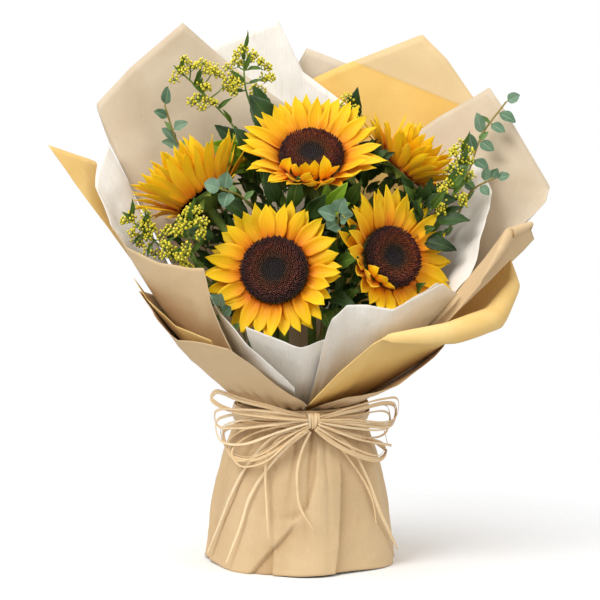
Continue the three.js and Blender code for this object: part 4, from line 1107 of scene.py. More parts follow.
def paper_skirt():
    """The paper round the stems, gathered into the neck, with its overlaps and folds."""
    sides, rows = 520, 64
    b, z = [v.ravel() for v in np.meshgrid(np.arange(sides) / sides * 360 - 180,
                                           np.linspace(0, SKIRT_TOP, rows + 1))]
    r = skirt_radius(b, z) - skirt_relief(b, z)
    gather = smoothstep(96, 140, z) * (1 - smoothstep(143, 156, z))
    turn = np.radians(b)
    r = r - gather * 1.1 * (0.5 + 0.5 * np.sin(turn * 46 + 1.5 * np.sin(turn * 9)))
    dents = creased(around(b, r, z), SKIRT_DENTS, 4.2)
    low = 1 - smoothstep(110, 140, z)
    r = r - np.clip(0.9 - dents, 0, 2) * 1.1 * low
    hem = 2.4 * (0.5 + 0.5 * np.sin(turn * 3 + 0.4)) * (1 - smoothstep(0, 24, z))
    p = around(b, r, z + hem)
    build = Build()
    # painted shade: the paper is darker where it lies deep in a fold or behind an overlap's edge, and
    # darker towards the neck under the band
    deep = np.clip(skirt_relief(b, z) / 5.5, 0, 1) ** 1.2 + 0.25 * smoothstep(120, 142, z)
    look = np.stack([z / SKIRT_TOP * 0.2 + 0.8, b / 180, deep], axis=1)
    build.add(p, grid_faces(rows, sides, wrap=True), look)
    ob = build.piece("paper_skirt_sheet", [KRAFT], "kraft_paper", replaces=("paper_skirt",),
                     thick=SKIRT_THICKNESS)


paper_skirt()


# ------------------------------------------------------------ flower heads
# size, place above the tie and direction of each head. cup: lift of the petals in degrees, with
# cupMore towards cupSide. The finished petals add lifts (degrees, side), curls (side, spread,
# share of the length, roll over the disc), folded petals over the disc's rim (side, length,
# lean) and near ones, which stand steeper in front of the disc (side, spread, number, lift)
FLOWERS = [
    dict(key="top", at=(10, -10, 251), face=(0.03, -0.72, 0.69), disc=31, reach=75,
         cup=33, cupMore=6, cupSide=-90, stemTurn=5, seed=3, curls=[(-90, 66, 0.8, 44)],
         folded=[(-122, 24, 70), (-104, 26, 82), (-86, 24, 88), (-68, 26, 80), (-50, 22, 66),
                 (-140, 22, 62)]),
    dict(key="low", at=(-25, -75, 145), face=(-0.12, -0.94, 0.3), disc=32, reach=69,
         cup=10, cupMore=3, cupSide=-60, stemTurn=160, seed=11, curls=[(-22, 36, 0.84, 24)]),
    dict(key="right", at=(86, -45, 155), face=(0.45, -0.83, 0.3), disc=30, reach=72,
         cup=20, cupMore=21, cupSide=180, stemTurn=-118, seed=23, curls=[(205, 55, 0.86, 34)],
         folded=[(206, 20, 62), (226, 22, 66), (244, 20, 58)]),
    dict(key="left", at=(-98, -10, 214), face=(-0.56, 0.24, 0.79), disc=28, reach=76,
         cup=46, cupMore=10, cupSide=0, stemTurn=85, seed=31, lifts=(10, 0),
         near=[(0, 84, 11, 66), (10, 66, 8, 84)]),
    dict(key="back", at=(101, 30, 239), face=(0.64, 0.06, 0.76), disc=24, reach=66,
         cup=38, cupMore=4, cupSide=0, stemTurn=-60, seed=47, lifts=(18, 180),
         near=[(180, 84, 11, 66), (170, 66, 8, 84)]),
]


def head_frame(face):
    """Directions of a flower head: right, up in its plane, and out of its face."""
    z = unit(face)
    x = unit(np.cross([0, 0, 1], z))
    return x, np.cross(z, x), z


def placed(points, flower):
    """Points of a flower head, put where the head is."""
    x, y, z = head_frame(flower["face"])
    p = np.asarray(points, float)
    return above_tie(flower["at"]) + p[..., 0:1] * x + p[..., 1:2] * y + p[..., 2:3] * z


PETAL_STEPS = 15
PETAL_ACROSS = 8
BRACT_STEPS = 10
BRACT_ACROSS = 4
BRACTS_PER_ROW = 13


def petal(build, flower, angle, root, base_up, length, width, lift, seed, roll=0.0):
    """One petal: a pointed, grooved blade that leaves the head at an angle and bends."""
    u = np.linspace(0, 1, PETAL_STEPS + 1)
    grow = np.power(np.sin(np.pi * np.clip(0.14 + 0.86 * np.power(u, 0.94), 0, 1)), 0.72)
    blunt = 1 - smoothstep(0.80, 1.0, u) * 0.45
    half = 0.5 * width * np.maximum(grow * blunt, 0.02)
    half *= 1 + 0.05 * np.sin(u * 13 + seed)
    half[0] = 0.20 * width
    # the midline bends: a start at the lift angle, then a curve down or up
    droop = (vary(seed, 1) - 0.62) * 0.75
    wave = (vary(seed, 2) - 0.5) * 0.5
    bend = lift + droop * u ** 1.5 + wave * np.sin(u * 5.2) * 0.4 + roll * smoothstep(0.0, 0.75, u)
    along, rise = bent(length, bend)
    u, w, bend = u[:, None], half[:, None], bend[:, None]
    sway = (vary(seed, 3) - 0.5) * 0.34 * length * u ** 1.8
    twist = (vary(seed, 4) - 0.5) * 1.1 * u ** 1.3
    s = np.linspace(-1, 1, PETAL_ACROSS + 1)
    fold = 0.26 + 0.34 * vary(seed, 5)
    fold = fold * (1 - 0.5 * u) * (1 if vary(seed, 6) > 0.15 else -0.6)
    hollow = fold * np.abs(s) ** 1.5 * w
    groove = 0.32 * np.cos(s * 9.5) * (1 - abs(2 * u - 0.9) * 0.5) * (w / (0.5 * width))
    edge = 0.5 * np.sin(u * 10 + seed + s * 1.4) * np.abs(s) ** 3
    side, z = turned(s * w, hollow + groove + edge, twist)
    x, y = turned(root + along - z * np.sin(bend), side + sway, angle)
    p = np.stack([x, y, base_up + rise + z * np.cos(bend)], axis=-1)
    build.add(placed(p, flower), grid_faces(PETAL_STEPS, PETAL_ACROSS), look_of(u, s, vary(seed, 7)))


def flower_petals(flower):
    build = Build()
    pitch = 2 * math.pi / PETALS_PER_WHORL
    scale = flower["disc"] / DISC_SIZE
    for back in (0, 1):
        for i in range(PETALS_PER_WHORL):
            seed = flower["seed"] * 10 + back * 137 + i * 1.71
            jitter = (vary(flower["seed"] + 5 * back, i + 40) - 0.5) * 0.12 * pitch
            angle = (i + 0.5 * back) * pitch + jitter
            reach = flower["reach"] * (0.93 + 0.09 * vary(flower["seed"] + back, i + 80))
            root = flower["disc"] + 0.6 - 1.2 * back
            side = flower["cupMore"] * math.cos(angle - math.radians(flower["cupSide"]))
            own = (vary(flower["seed"] + back, i) - 0.5) * 9
            more, way = flower.get("lifts", (0, 0))
            more *= math.cos(angle - math.radians(way))
            lift = math.radians(flower["cup"] + side + own + more - back * 6)
            length = (reach - root) * (1.04 if back else 1.0)
            roll = 0.0
            for way, spread, share, over in flower.get("curls", ()):
                apart = abs(wrapped(math.degrees(angle) - way))
                near = max(0.0, 1 - apart / spread) ** 0.7
                length *= 1 - (1 - share) * near
                roll += math.radians(over) * near * (0.6 + 0.5 * vary(seed, 11)) * (1 - 0.35 * back)
            width = PETAL_WIDTH * scale * (0.92 + 0.2 * vary(seed, 8))
            petal(build, flower, angle, root, 0.6 - 3.0 * back, length, width, lift, seed, roll)
    for i, (way, length, lean) in enumerate(flower.get("folded", ())):
        seed = flower["seed"] + 500 + i * 3.3
        petal(build, flower, math.radians(way), flower["disc"] + 0.4, 3.4, length * scale,
              PETAL_WIDTH * 0.95 * scale, math.radians(lean), seed,
              math.radians(24 + 24 * vary(seed, 1)))
    for way, spread, count, rise in flower.get("near", ()):
        for i in range(count):
            seed = flower["seed"] + 700 + rise + i * 2.3
            angle = math.radians(way + spread * ((i + 0.5) / count * 2 - 1) + 5 * (vary(seed, 9) - 0.5))
            length = (flower["reach"] - flower["disc"]) * (0.92 + 0.16 * vary(seed, 10))
            petal(build, flower, angle, flower["disc"] - 1.0, 2.4, length, PETAL_WIDTH * scale,
                  math.radians(rise + 10 * vary(seed, 12)), seed)
    build.piece("petals_" + flower["key"] + "_blades", [PETAL], "petal",
                replaces=("petals_" + flower["key"],), thick=PETAL_THICKNESS)


def dome(flower, r):
    """Height of the seed disc above the head's plane at radius r."""
    high = DISC_FOOT + DISC_HEIGHT * flower["disc"] / DISC_SIZE
    falls = np.array([2.4, 2.0, 0.9, 0.1, 0.3, 2.6, 5.0])
    return np.interp(np.asarray(r) / flower["disc"], [0, 0.2, 0.42, 0.62, 0.8, 0.93, 1.0], high - falls)


# florets by how far out they grow, as a share of the disc: height, its spread and half width
FLORET_RINGS = [(0.34, 1.3, 0.5, 0.62), (0.62, 2.2, 1.3, 0.66), (1.0, 3.2, 2.4, 0.74)]


def seed_disc(flower):
    """The dark bed and its florets, set out in the sunflower's spirals."""
    build = Build()
    size, sides = flower["disc"], 48
    radii = np.array([0.02, 0.25, 0.5, 0.72, 0.88, 0.98, 1.0, 0.7])
    levels = dome(flower, radii * size) - 1.2
    levels[-2:] = [DISC_FOOT + 1.2, DISC_FOOT]
    rows = lathe(zip(radii * size, levels), sides)
    faces = grid_faces(len(rows) - 1, sides, wrap=True) + [list(range(sides))[::-1]]
    build.add(placed(rows, flower), faces, look_of(radii, np.zeros(sides), 0.5), kind=1)
    count = int(FLORETS * (size / DISC_SIZE) ** 2)
    levels = (0, 0.55, 0.85)
    for k in range(count):
        t = math.sqrt((k + 0.5) / count)
        r = t * size * 0.985
        angle = math.radians(GOLDEN_ANGLE * k)
        own = vary(flower["seed"], k)
        _, short, more, wide = next(ring for ring in FLORET_RINGS if t < ring[0])
        tall = short + more * own
        lean = 0.15 + 0.5 * max(0.0, t - 0.45) + 0.35 * (vary(flower["seed"], k + 900) - 0.5)
        foot = np.array([r * math.cos(angle), r * math.sin(angle), float(dome(flower, r)) - 1.2])
        aim = angle + 0.5 * (own - 0.5)
        out = np.array([math.cos(aim), math.sin(aim), 0])
        way = unit(out * lean + np.array([0, 0, 1]))
        side = unit(np.cross(way, out))
        q = 2 * math.pi * np.arange(5) / 5 + own * 6
        rim = np.outer(np.cos(q), side) + np.outer(np.sin(q), np.cross(way, side))
        ring = [foot + way * (tall * h + 0.2) + rim * wide * w for h, w in zip(levels, (0.8, 1.0, 0.75))]
        ring.append([foot + way * (tall + 0.35)])
        faces = grid_faces(2, 5, wrap=True) + [[10 + j, 10 + (j + 1) % 5, 15] for j in range(5)]
        look = [(t, h, own) for h in levels for _ in range(5)] + [(t, 1, own)]
        build.add(placed(np.concatenate(ring), flower), faces, look)
    build.piece("seed_disc_" + flower["key"] + "_florets", [FLORET, SEED_BED], "seed_disc",
                replaces=("seed_disc_" + flower["key"],), smooth=False)


def spiral(turn, ring, z):
    """A place on a leaning stem of the hand-tied spiral."""
    up = z - TIE_HEIGHT
    t = math.radians(turn)
    return [ring * math.cos(t) - STEM_LEAN * up * math.sin(t),
            ring * math.sin(t) + STEM_LEAN * up * math.cos(t), z]


def above_ground(line):
    """The part of a line above the cut level, starting exactly at it."""
    k = int(np.argmax(line[:, 2] > 0))
    a, b = line[max(k - 1, 0)], line[k]
    start = a + (b - a) * (0 - a[2]) / (b[2] - a[2]) if k else line[0]
    return np.vstack([start, line[k:]])


def stem_line(turn, ring, over, points, count):
    """A stem's line: its spiral through the tie to a height over it, then the given points."""
    heights = (STEM_FOOT, TIE_HEIGHT * 0.5, TIE_HEIGHT, TIE_HEIGHT + over)
    low = [spiral(turn, ring, z) for z in heights]
    return above_ground(spline(low + list(points), count))


def bract(build, flower, angle, root, level, length, width, slope, seed):
    """A green pointed scale behind the petals, its tip curling back."""
    u = np.linspace(0, 1, BRACT_STEPS + 1)[:, None]
    half = 0.5 * width * np.maximum(np.sin(np.pi * (0.22 + 0.78 * u)) ** 0.9, 0.01)
    bend = slope - 0.9 * (vary(seed, 2) - 0.15) * u ** 2
    along, rise = bent(length, bend[:, 0])
    s = np.linspace(-1, 1, BRACT_ACROSS + 1)
    z = 0.3 * np.abs(s) ** 1.4 * half
    side = s * half + (vary(seed, 3) - 0.5) * 0.3 * length * u ** 2
    x, y = turned(root + along - z * np.sin(bend), side, angle)
    p = np.stack([x, y, level + rise + z * np.cos(bend)], axis=-1)
    look = look_of(u, s, vary(seed, 5))
    build.add(placed(p, flower), grid_faces(BRACT_STEPS, BRACT_ACROSS), look, kind=1)


def flower_stem(flower):
    """Stem, calyx and bracts, as one piece."""
    build = Build()
    size, sides = flower["disc"] / DISC_SIZE, 28
    top = -WHORL_STEP - 0.32
    rc = CALYX_RADIUS * size
    back = top - CALYX_DEPTH * size
    rows = lathe([(rc * 0.4, top), (rc, top), (rc * 0.97, top - 2.5 * size), (rc * 0.86, top - 6 * size),
                  (rc * 0.6, top - 10 * size), (FLOWER_STEM_RADIUS + 1.6, back + 1),
                  (FLOWER_STEM_RADIUS, back)], sides)
    look = look_of(np.linspace(0, 1, len(rows)), np.zeros(sides), 0.4)
    build.add(placed(rows, flower), grid_faces(len(rows) - 1, sides, wrap=True), look)
    for row in (0, 1):
        for i in range(BRACTS_PER_ROW):
            seed = flower["seed"] + row * 50 + i * 1.9
            angle = 2 * math.pi * (i + 0.5 * row) / BRACTS_PER_ROW + 0.08 * math.sin(seed)
            length = (28 - 5 * row) * size * (0.85 + 0.3 * vary(seed, 1))
            bract(build, flower, angle, rc * (0.9 - 0.12 * row), top - (2.2 + 2.6 * row) * size, length,
                  12.5 * size, -0.30 - 0.16 * row, seed)
    at = above_tie(flower["at"])
    n = unit(flower["face"])
    line = stem_line(flower["stemTurn"], FLOWER_STEM_RING, 36,
                     [at + n * (back - far) for far in (40, 14, -3)], 70)
    radius = FLOWER_STEM_RADIUS * (1 - 0.06 * np.sin(np.linspace(0, 17, len(line)) + flower["seed"]))
    tube(build, line, radius, 14)
    build.piece("stem_" + flower["key"] + "_green", [STEM, BRACT], "flower_stem",
                replaces=("stem_" + flower["key"],))


for sunflower in FLOWERS:
    flower_petals(sunflower)
    seed_disc(sunflower)
    flower_stem(sunflower)


# ------------------------------------------------------------ greens
# sprigs: turn of the stem at the tie, places above the tie up the stem, and the buds' places or
# the leaves' places, directions and lengths
GOLDENROD = [
    dict(name="goldenrod_upper_left", turn=112, seed=1,
         stem=[(-40, 34, 150), (-62, 50, 270), (-92, 48, 308), (-122, 48, 337)],
         buds=[
             (-122, 48, 337), (-111, 47, 342), (-99, 47, 344), (-87, 47, 339), (-101, 47, 323),
             (-75, 48, 325), (-105, 47, 309), (-94, 47, 306)]),
    dict(name="goldenrod_upright", turn=97, seed=2,
         stem=[(-26, 40, 160), (-44, 52, 280), (-56, 50, 320), (-58, 50, 358)],
         buds=[
             (-58, 50, 358), (-48, 51, 353), (-40, 51, 344), (-66, 50, 346), (-38, 52, 330),
             (-72, 50, 330), (-68, 50, 318), (-40, 52, 316)]),
    dict(name="goldenrod_low_left", turn=160, seed=3,
         stem=[(-66, -20, 96), (-106, -30, 138), (-138, -28, 166), (-168, -22, 192)],
         buds=[
             (-168, -22, 194), (-160, -24, 184), (-152, -26, 197), (-146, -28, 183), (-162, -22, 172),
             (-136, -30, 176), (-150, -26, 162), (-124, -32, 156)]),
    dict(name="goldenrod_mid_left", turn=177, seed=4,
         stem=[(-58, -40, 96), (-98, -64, 146), (-108, -76, 176), (-106, -82, 202)],
         buds=[
             (-106, -82, 204), (-114, -80, 194), (-98, -84, 193), (-122, -76, 182), (-96, -82, 180),
             (-110, -84, 168), (-124, -76, 164), (-112, -78, 152)]),
    dict(name="goldenrod_right", turn=-40, seed=5,
         stem=[(64, -2, 96), (126, -6, 176), (150, -8, 216), (160, 2, 262)],
         buds=[
             (160, 2, 264), (152, -4, 258), (164, 0, 248), (150, -8, 242), (160, -6, 230),
             (144, -12, 226), (156, -8, 212), (140, -12, 206)]),
]
EUCALYPTUS = [
    dict(name="eucalyptus_upper_left", turn=142, width=11,
         stem=[(-52, 32, 130), (-96, 62, 226), (-124, 60, 262), (-138, 58, 302)],
         leaves=[
             ((-138, 58, 302), (0.3, -0.2, 1), 20), ((-134, 58, 288), (-1, -0.2, 0.5), 16),
             ((-130, 59, 275), (1, -0.3, 0.6), 18), ((-122, 60, 258), (-1, -0.2, 0.3), 19),
             ((-116, 60, 252), (0.9, -0.3, 0.7), 17), ((-108, 61, 242), (-1, -0.2, -0.2), 22),
             ((-128, 59, 268), (-1, 0, 0.9), 20)]),
    dict(name="eucalyptus_mid_left", turn=127, width=16,
         stem=[(-22, 8, 112), (-36, -6, 184), (-58, -56, 216), (-76, -82, 224)],
         leaves=[
             ((-76, -82, 224), (-1, -0.2, 0.35), 17), ((-73, -78, 222), (0.1, -0.2, 1), 18),
             ((-70, -74, 220), (-0.3, -0.9, -1), 19)]),
    dict(name="eucalyptus_centre", turn=-80, width=17,
         stem=[(24, -20, 112), (34, -34, 162), (36, -62, 188), (35, -78, 200)],
         leaves=[
             ((35, -78, 200), (0.3, -0.3, 1), 18), ((35, -74, 197), (-1, -0.3, 0.3), 20),
             ((36, -70, 194), (1, -0.4, 0.2), 16), ((36, -66, 191), (-0.9, -0.9, -0.6), 18)]),
    dict(name="eucalyptus_low_left", turn=206, width=13,
         stem=[(-46, -60, 66), (-72, -90, 96), (-79, -97, 112)],
         leaves=[
             ((-79, -97, 112), (-0.6, 0.4, 1), 14), ((-79, -97, 111), (0.2, -0.3, 1), 15),
             ((-76, -94, 106), (0.9, -0.1, 0.7), 12)]),
    dict(name="eucalyptus_long_right", turn=-14, width=12,
         stem=[(84, 30, 146), (160, 26, 222), (182, 34, 274), (206, 42, 306)],
         leaves=[
             ((206, 42, 306), (1, -0.2, 0.5), 15), ((196, 40, 297), (1, -0.3, -0.5), 20),
             ((187, 37, 286), (1, -0.3, -0.7), 18), ((182, 34, 278), (-0.4, -0.3, 1), 22),
             ((177, 29, 268), (0.8, -0.4, -0.8), 18), ((172, 26, 258), (-0.5, -0.3, 1), 22),
             ((168, 22, 250), (0.9, -0.4, -0.7), 18), ((162, 17, 238), (-0.9, -0.2, 0.7), 18)]),
    dict(name="eucalyptus_low_right", turn=-28, width=10,
         stem=[(90, 10, 112), (150, 14, 184), (170, -2, 220), (192, -8, 232)],
         leaves=[
             ((192, -8, 232), (1, -0.1, 0.1), 13), ((186, -8, 231), (0.6, 0, 1), 13),
             ((182, -7, 229), (0.1, -0.1, 1), 15), ((176, -5, 226), (0.7, -0.5, -0.8), 14),
             ((169, -2, 219), (-0.2, -0.2, 1), 14)]),
]
LEAVES = [
    dict(name="leaf_upper_left", at=(-24, 24, 270), way=(-0.5, -0.1, 1), length=52, width=30,
         fresh=False),
    dict(name="leaf_mid_left", at=(-50, 10, 246), way=(-1, -0.2, 0.5), length=50, width=26,
         fresh=True),
    dict(name="leaf_centre", at=(24, -40, 198), way=(0.5, -0.5, 0.8), length=44, width=16,
         fresh=True),
]

# foliage that fills the gaps between the heads: place above the tie, direction, length, width,
# and which green
FOLIAGE = [
    ((-24, -30, 210), (-0.4, -0.5, 1), 36, 18, "dark"), ((-8, -34, 204), (0.1, -0.4, 1), 34, 16, "mid"),
    ((8, -40, 194), (0.5, -0.5, 0.9), 34, 17, "dark"),
    ((-52, -36, 196), (-0.9, -0.5, 0.5), 38, 18, "dark"),
    ((-62, -22, 204), (-0.5, -0.5, 1), 34, 17, "mid"),
    ((-84, -44, 176), (-1, -0.5, 0.2), 34, 16, "dark"),
    ((-46, 4, 250), (-0.6, -0.3, 1), 38, 20, "dark"),
    ((-60, 12, 262), (-0.9, -0.2, 0.7), 34, 17, "dark"),
    ((46, -26, 206), (0.4, -0.5, 1), 30, 15, "mid"), ((40, -30, 194), (0.9, -0.5, 0.3), 32, 16, "dark"),
    ((50, 40, 284), (0.3, -0.2, 1), 38, 18, "dark"), ((122, -6, 206), (1, -0.4, 0.2), 34, 16, "dark"),
    ((134, -14, 190), (1, -0.4, 0.1), 34, 16, "dark"),
    ((140, -24, 170), (1, -0.3, -0.2), 34, 16, "dark"),
    ((146, -4, 222), (0.8, -0.3, 0.9), 30, 15, "mid"),
    ((26, -60, 122), (0.7, -0.6, -0.4), 34, 17, "dark"),
    ((34, -56, 150), (0.6, -0.7, 0.2), 34, 17, "mid"),
    ((38, -56, 172), (0.5, -0.7, 0.5), 32, 16, "dark"),
    ((-66, -56, 118), (-1, -0.4, -0.3), 32, 16, "dark"),
    ((20, -64, 108), (0.3, -0.7, -0.8), 30, 16, "mid"),
    ((-34, 44, 292), (-0.5, -0.2, 1), 34, 17, "dark"), ((8, 62, 244), (0.1, 0.1, 1), 40, 22, "dark"),
    ((-44, 60, 220), (-0.5, 0, 1), 40, 22, "dark"), ((60, 56, 224), (0.4, 0, 1), 40, 22, "dark"),
]


LEAF_STEPS = 14
LEAF_ACROSS = 8


def within_papers(points):
    """The points, moved together towards the axis until none is past the papers."""
    for _ in range(2):
        b, z, r = wall_cells(points)
        past = np.max(r - WALL[b, z] + 3)
        if past <= 0:
            break
        middle = points.mean(axis=0)
        points = points - unit([middle[0], middle[1], 0]) * past
    return points


def blade(build, base, way, face, length, width, seed, oval=False, kind=0, droop=0.35, inside=False):
    """A leaf: pointed or oval outline, folded along its midrib, bent and a little wavy."""
    u = np.linspace(0, 1, LEAF_STEPS + 1)
    if oval:
        half = 0.5 * width * np.maximum(np.sin(np.pi * np.power(u, 0.8)) ** 0.72, 0.03)
    else:
        half = 0.5 * width * np.maximum(np.sin(np.pi * np.power(u, 0.72)) ** 0.85, 0.02)
        half *= 1 + 0.05 * np.sin(u * 34 + seed)
    half[0] = 0.7
    half[-1] = max(half[-1], 0.6) if oval else 0.15
    x = unit(way)
    z = unit(np.asarray(face, float) - np.dot(face, x) * x)
    y = np.cross(z, x)
    bend = 0.15 - (droop + 0.5 * (vary(seed, 1) - 0.5)) * u ** 1.3 * 1.6
    along, rise = bent(length, bend)
    u, w, bend = u[:, None], half[:, None], bend[:, None]
    sway = (vary(seed, 3) - 0.5) * 0.25 * length * u ** 2
    s = np.linspace(-1, 1, LEAF_ACROSS + 1)
    h = (0.16 + 0.22 * vary(seed, 5)) * np.abs(s) ** 1.2 * w
    h = h + 0.05 * width * np.abs(s) ** 3 * np.sin(u * 11 + seed + s) - 0.35 * np.exp(-(s * 7) ** 2)
    q, h = turned(s * w, h, (vary(seed, 4) - 0.5) * 0.7 * u)
    steps = (along - h * np.sin(bend), q + sway, rise + h * np.cos(bend))
    p = base + sum(far[..., None] * axis for far, axis in zip(steps, (x, y, z))).reshape(-1, 3)
    if inside:
        p = within_papers(p)
    build.add(p, grid_faces(LEAF_STEPS, LEAF_ACROSS), look_of(u, s, vary(seed, 6)), kind)


def nearest_on(line, p):
    return line[int(np.argmin(np.linalg.norm(line - p, axis=1)))]


def filler_stem(build, kind, thinner):
    """A sprig's stem, which grows thinner by a share towards its tip."""
    line = stem_line(kind["turn"], FILLER_STEM_RING, 34, [above_tie(p) for p in kind["stem"]], 80)
    far = np.linspace(0, 1, len(line))
    tube(build, line, FILLER_STEM_RADIUS * (1 - thinner * smoothstep(0.6, 1, far)), 8, kind=1)
    return line


def eucalyptus(kind):
    """A shoot with oval grey-green leaves."""
    build = Build()
    line = filler_stem(build, kind, 0.35)
    for i, (at, way, length) in enumerate(kind["leaves"]):
        seed = i * 2.7 + kind["turn"]
        base = nearest_on(line, above_tie(at))
        x = unit(way)
        face = np.array([0.5 * (vary(i, 3) - 0.5), -1, 0.55])
        stalk = np.array([base, base + x * 1.6, base + x * 3.0])
        tube(build, stalk, 0.55, 6, kind=1)
        blade(build, base + x * 2.2, way, face, length - 1.5, kind["width"], seed, oval=True,
              droop=0.12)
    for i in range(8):
        seed = kind["turn"] + 5.3 * i
        base = line[int(len(line) * (0.66 + 0.04 * i))]
        way = np.array([(-1) ** i * 0.8, -0.35, 0.5 + 0.5 * vary(seed, 1)])
        blade(build, base, way, (0.4 * (vary(seed, 2) - 0.5), -1, 0.5), 11 + 6 * vary(seed, 3),
              4.5 + 2.5 * vary(seed, 4), seed, kind=2, droop=0.2)
    build.piece(kind["name"] + "_shoot", [GREY_LEAF, TWIG, SAGE_LEAF], "eucalyptus_leaf",
                replaces=(kind["name"],))


def bud_ball(build, at, radius, seed):
    """A small round bud with a pinched tip."""
    rows, sides = 5, 7
    way = unit([vary(seed, 1) - 0.5, vary(seed, 2) - 0.5, 0.6 + vary(seed, 3)])
    side = unit(np.cross(way, [0.3, 0.9, 0.2]))
    q = 2 * math.pi * np.arange(sides) / sides
    rim = np.outer(np.cos(q), side) + np.outer(np.sin(q), np.cross(way, side))
    turn = math.pi * (np.arange(rows) + 0.35) / (rows - 0.3)
    points = [at - way * math.cos(t) * radius * 1.12 + rim * math.sin(t) * radius for t in turn]
    points.append([at - way * radius * 1.1, at + way * radius * 1.25])
    last = (rows - 1) * sides
    faces = grid_faces(rows - 1, sides, wrap=True)
    faces += [[(j + 1) % sides, j, rows * sides] for j in range(sides)]
    faces += [[last + j, last + (j + 1) % sides, rows * sides + 1] for j in range(sides)]
    along = np.concatenate([np.repeat(np.linspace(0.1, 0.95, rows), sides), [0.0, 1.0]])
    look = np.stack([along, np.zeros(len(along)), np.full(len(along), vary(seed, 5))], axis=1)
    build.add(np.concatenate(points), faces, look)


def spray_of_buds(build, middle, count, size, seed):
    """Tiny buds on short stalks round a middle."""
    for k in range(count):
        own = seed * 31 + k * 1.3
        height = 1 - 1.6 * (k + 0.5) / count
        ring = math.sqrt(max(0.0, 1 - height * height))
        q = math.radians(GOLDEN_ANGLE * k + 40 * seed)
        off = np.array([ring * math.cos(q), ring * math.sin(q), height * 1.1]) * size
        off = off * (0.75 + 0.6 * vary(own, 4))
        stalk = np.array([middle, middle + off * 0.5 + np.array([0, 0, -0.3]), middle + off * 0.85])
        tube(build, stalk, 0.26, 5, kind=1)
        bud_ball(build, middle + off, 1.0 + 0.55 * vary(own, 6), own)


def goldenrod(kind):
    """A stem with side shoots that carry sprays of tiny round buds."""
    build = Build()
    line = filler_stem(build, kind, 0.4)
    tip = line[-2]
    for i, place in enumerate(kind["buds"]):
        at = above_tie(place)
        base = nearest_on(line, (at - [0, 0, 12]) * 0.75 + tip * 0.25)
        apart = np.linalg.norm(base - at) > 4
        if apart:
            shoot = spline([base, (base + at) / 2 - [0, 0, 1.5], at], 9)
            tube(build, shoot, np.linspace(0.85, 0.55, 9), 6, kind=1)
        for n in range(3):
            own = kind["seed"] * 13 + i * 3.7 + n
            shift = np.array([vary(own, 1) - 0.5, 0.8 * (vary(own, 2) - 0.5), vary(own, 3) - 0.6])
            middle = at + shift * (0 if n == 0 else 15)
            if n:
                shoot = spline([at - [0, 0, 6], (at + middle) / 2 - [0, 0, 3], middle], 6)
                tube(build, shoot, 0.4, 5, kind=1)
            spray_of_buds(build, middle, 12, 4.6 - 0.5 * n, own)
        if i % 2 == 0:
            way = unit(at - base) + [0, -0.4, -0.2] if apart else (0.6, -0.5, 0.4)
            blade(build, base + (at - base) * 0.25, way, (0.1, -1, 0.5), 15, 4.6, kind["seed"] * 17 + i,
                  kind=2, droop=0.3)
    for i in range(12):
        seed = kind["seed"] * 23 + i * 1.9
        base = line[int(len(line) * (0.62 + 0.034 * i))]
        way = (math.cos(i * 2.4), -0.4, 0.9)
        blade(build, base, way, (0.1 * i - 0.5, -1, 0.5), 15 + 8 * vary(seed, 1), 4.5 + 2 * vary(seed, 2),
              seed, kind=2, droop=0.3)
    build.piece(kind["name"] + "_spray", [BUD, SHOOT, MID_LEAF], "goldenrod", replaces=(kind["name"],))


def cad_leaf(item, number):
    """A broad leaf of the CAD model; a fresh one has a smaller leaf on each side."""
    build = Build()
    at, way, seed = above_tie(item["at"]), unit(item["way"]), number * 5.3 + 2
    blade(build, at, way, (0.1, -1, 0.5), item["length"], item["width"], seed, droop=0.25)
    if item["fresh"]:
        side = np.cross(way, unit([0, -1, 0.4]))
        for k, turn in enumerate((-0.75, 0.75)):
            blade(build, at + side * turn * 2, way + side * turn, (0.1 - turn * 0.3, -1, 0.5),
                  item["length"] * 0.72, item["width"] * 0.8, seed + 1 + k, droop=0.25)
    build.piece(item["name"] + "_blade", [FRESH_LEAF if item["fresh"] else DARK_LEAF],
                "fresh_leaf" if item["fresh"] else "sunflower_leaf", replaces=(item["name"],),
                thick=LEAF_THICKNESS)


# masses of small foliage behind and between the heads: middle above the tie, half sizes, number
THICKETS = [
    ((-8, -14, 176), (34, 16, 30), 46), ((36, -24, 168), (22, 22, 34), 46),
    ((-62, -14, 160), (30, 22, 26), 44), ((-36, 22, 232), (26, 14, 26), 34),
    ((56, 14, 232), (26, 14, 24), 34), ((120, -4, 190), (22, 20, 30), 34),
    ((30, -48, 124), (30, 14, 20), 38), ((-60, -52, 118), (20, 14, 18), 20),
    ((96, -30, 108), (24, 16, 14), 20), ((4, 46, 250), (60, 14, 22), 40),
    ((0, 56, 190), (70, 20, 34), 44), ((-104, 24, 176), (18, 26, 20), 22),
    ((112, 44, 176), (22, 24, 24), 24),
]


def thickets():
    """Small leaves packed between the stems."""
    build = Build()
    for n, (middle, half, count) in enumerate(THICKETS):
        for k in range(count):
            seed = n * 61 + k * 1.37
            q = np.array([vary(seed, j) * 2 - 1 for j in (1, 2, 3)])
            q = q / max(1.0, np.linalg.norm(q) * 0.95)
            base = above_tie(np.asarray(middle, float) + q * half)
            way = unit([q[0] * 0.8 + vary(seed, 4) - 0.5, -0.25 - 0.6 * vary(seed, 5),
                        0.3 + 0.8 * vary(seed, 6) + 0.4 * q[2]])
            face = (vary(seed, 7) - 0.5, -1, 0.5 + 0.6 * vary(seed, 8))
            light = q[1] < -0.2 and vary(seed, 10) > 0.62
            blade(build, base, way, face, 15 + 13 * vary(seed, 9), 7 + 5 * vary(seed, 11), seed,
                  kind=1 if light else 0, droop=0.35, inside=True)
            if k % 4 == 0:
                foot = base - way * 4 + np.array([-base[0] * 0.10, -base[1] * 0.10, -24])
                tube(build, spline([foot, base - way * 3, base + way], 6), 0.8, 5, kind=2, own=0.4)
    build.piece("foliage_small", [DARK_LEAF, MID_LEAF, SHOOT], "sunflower_leaf")


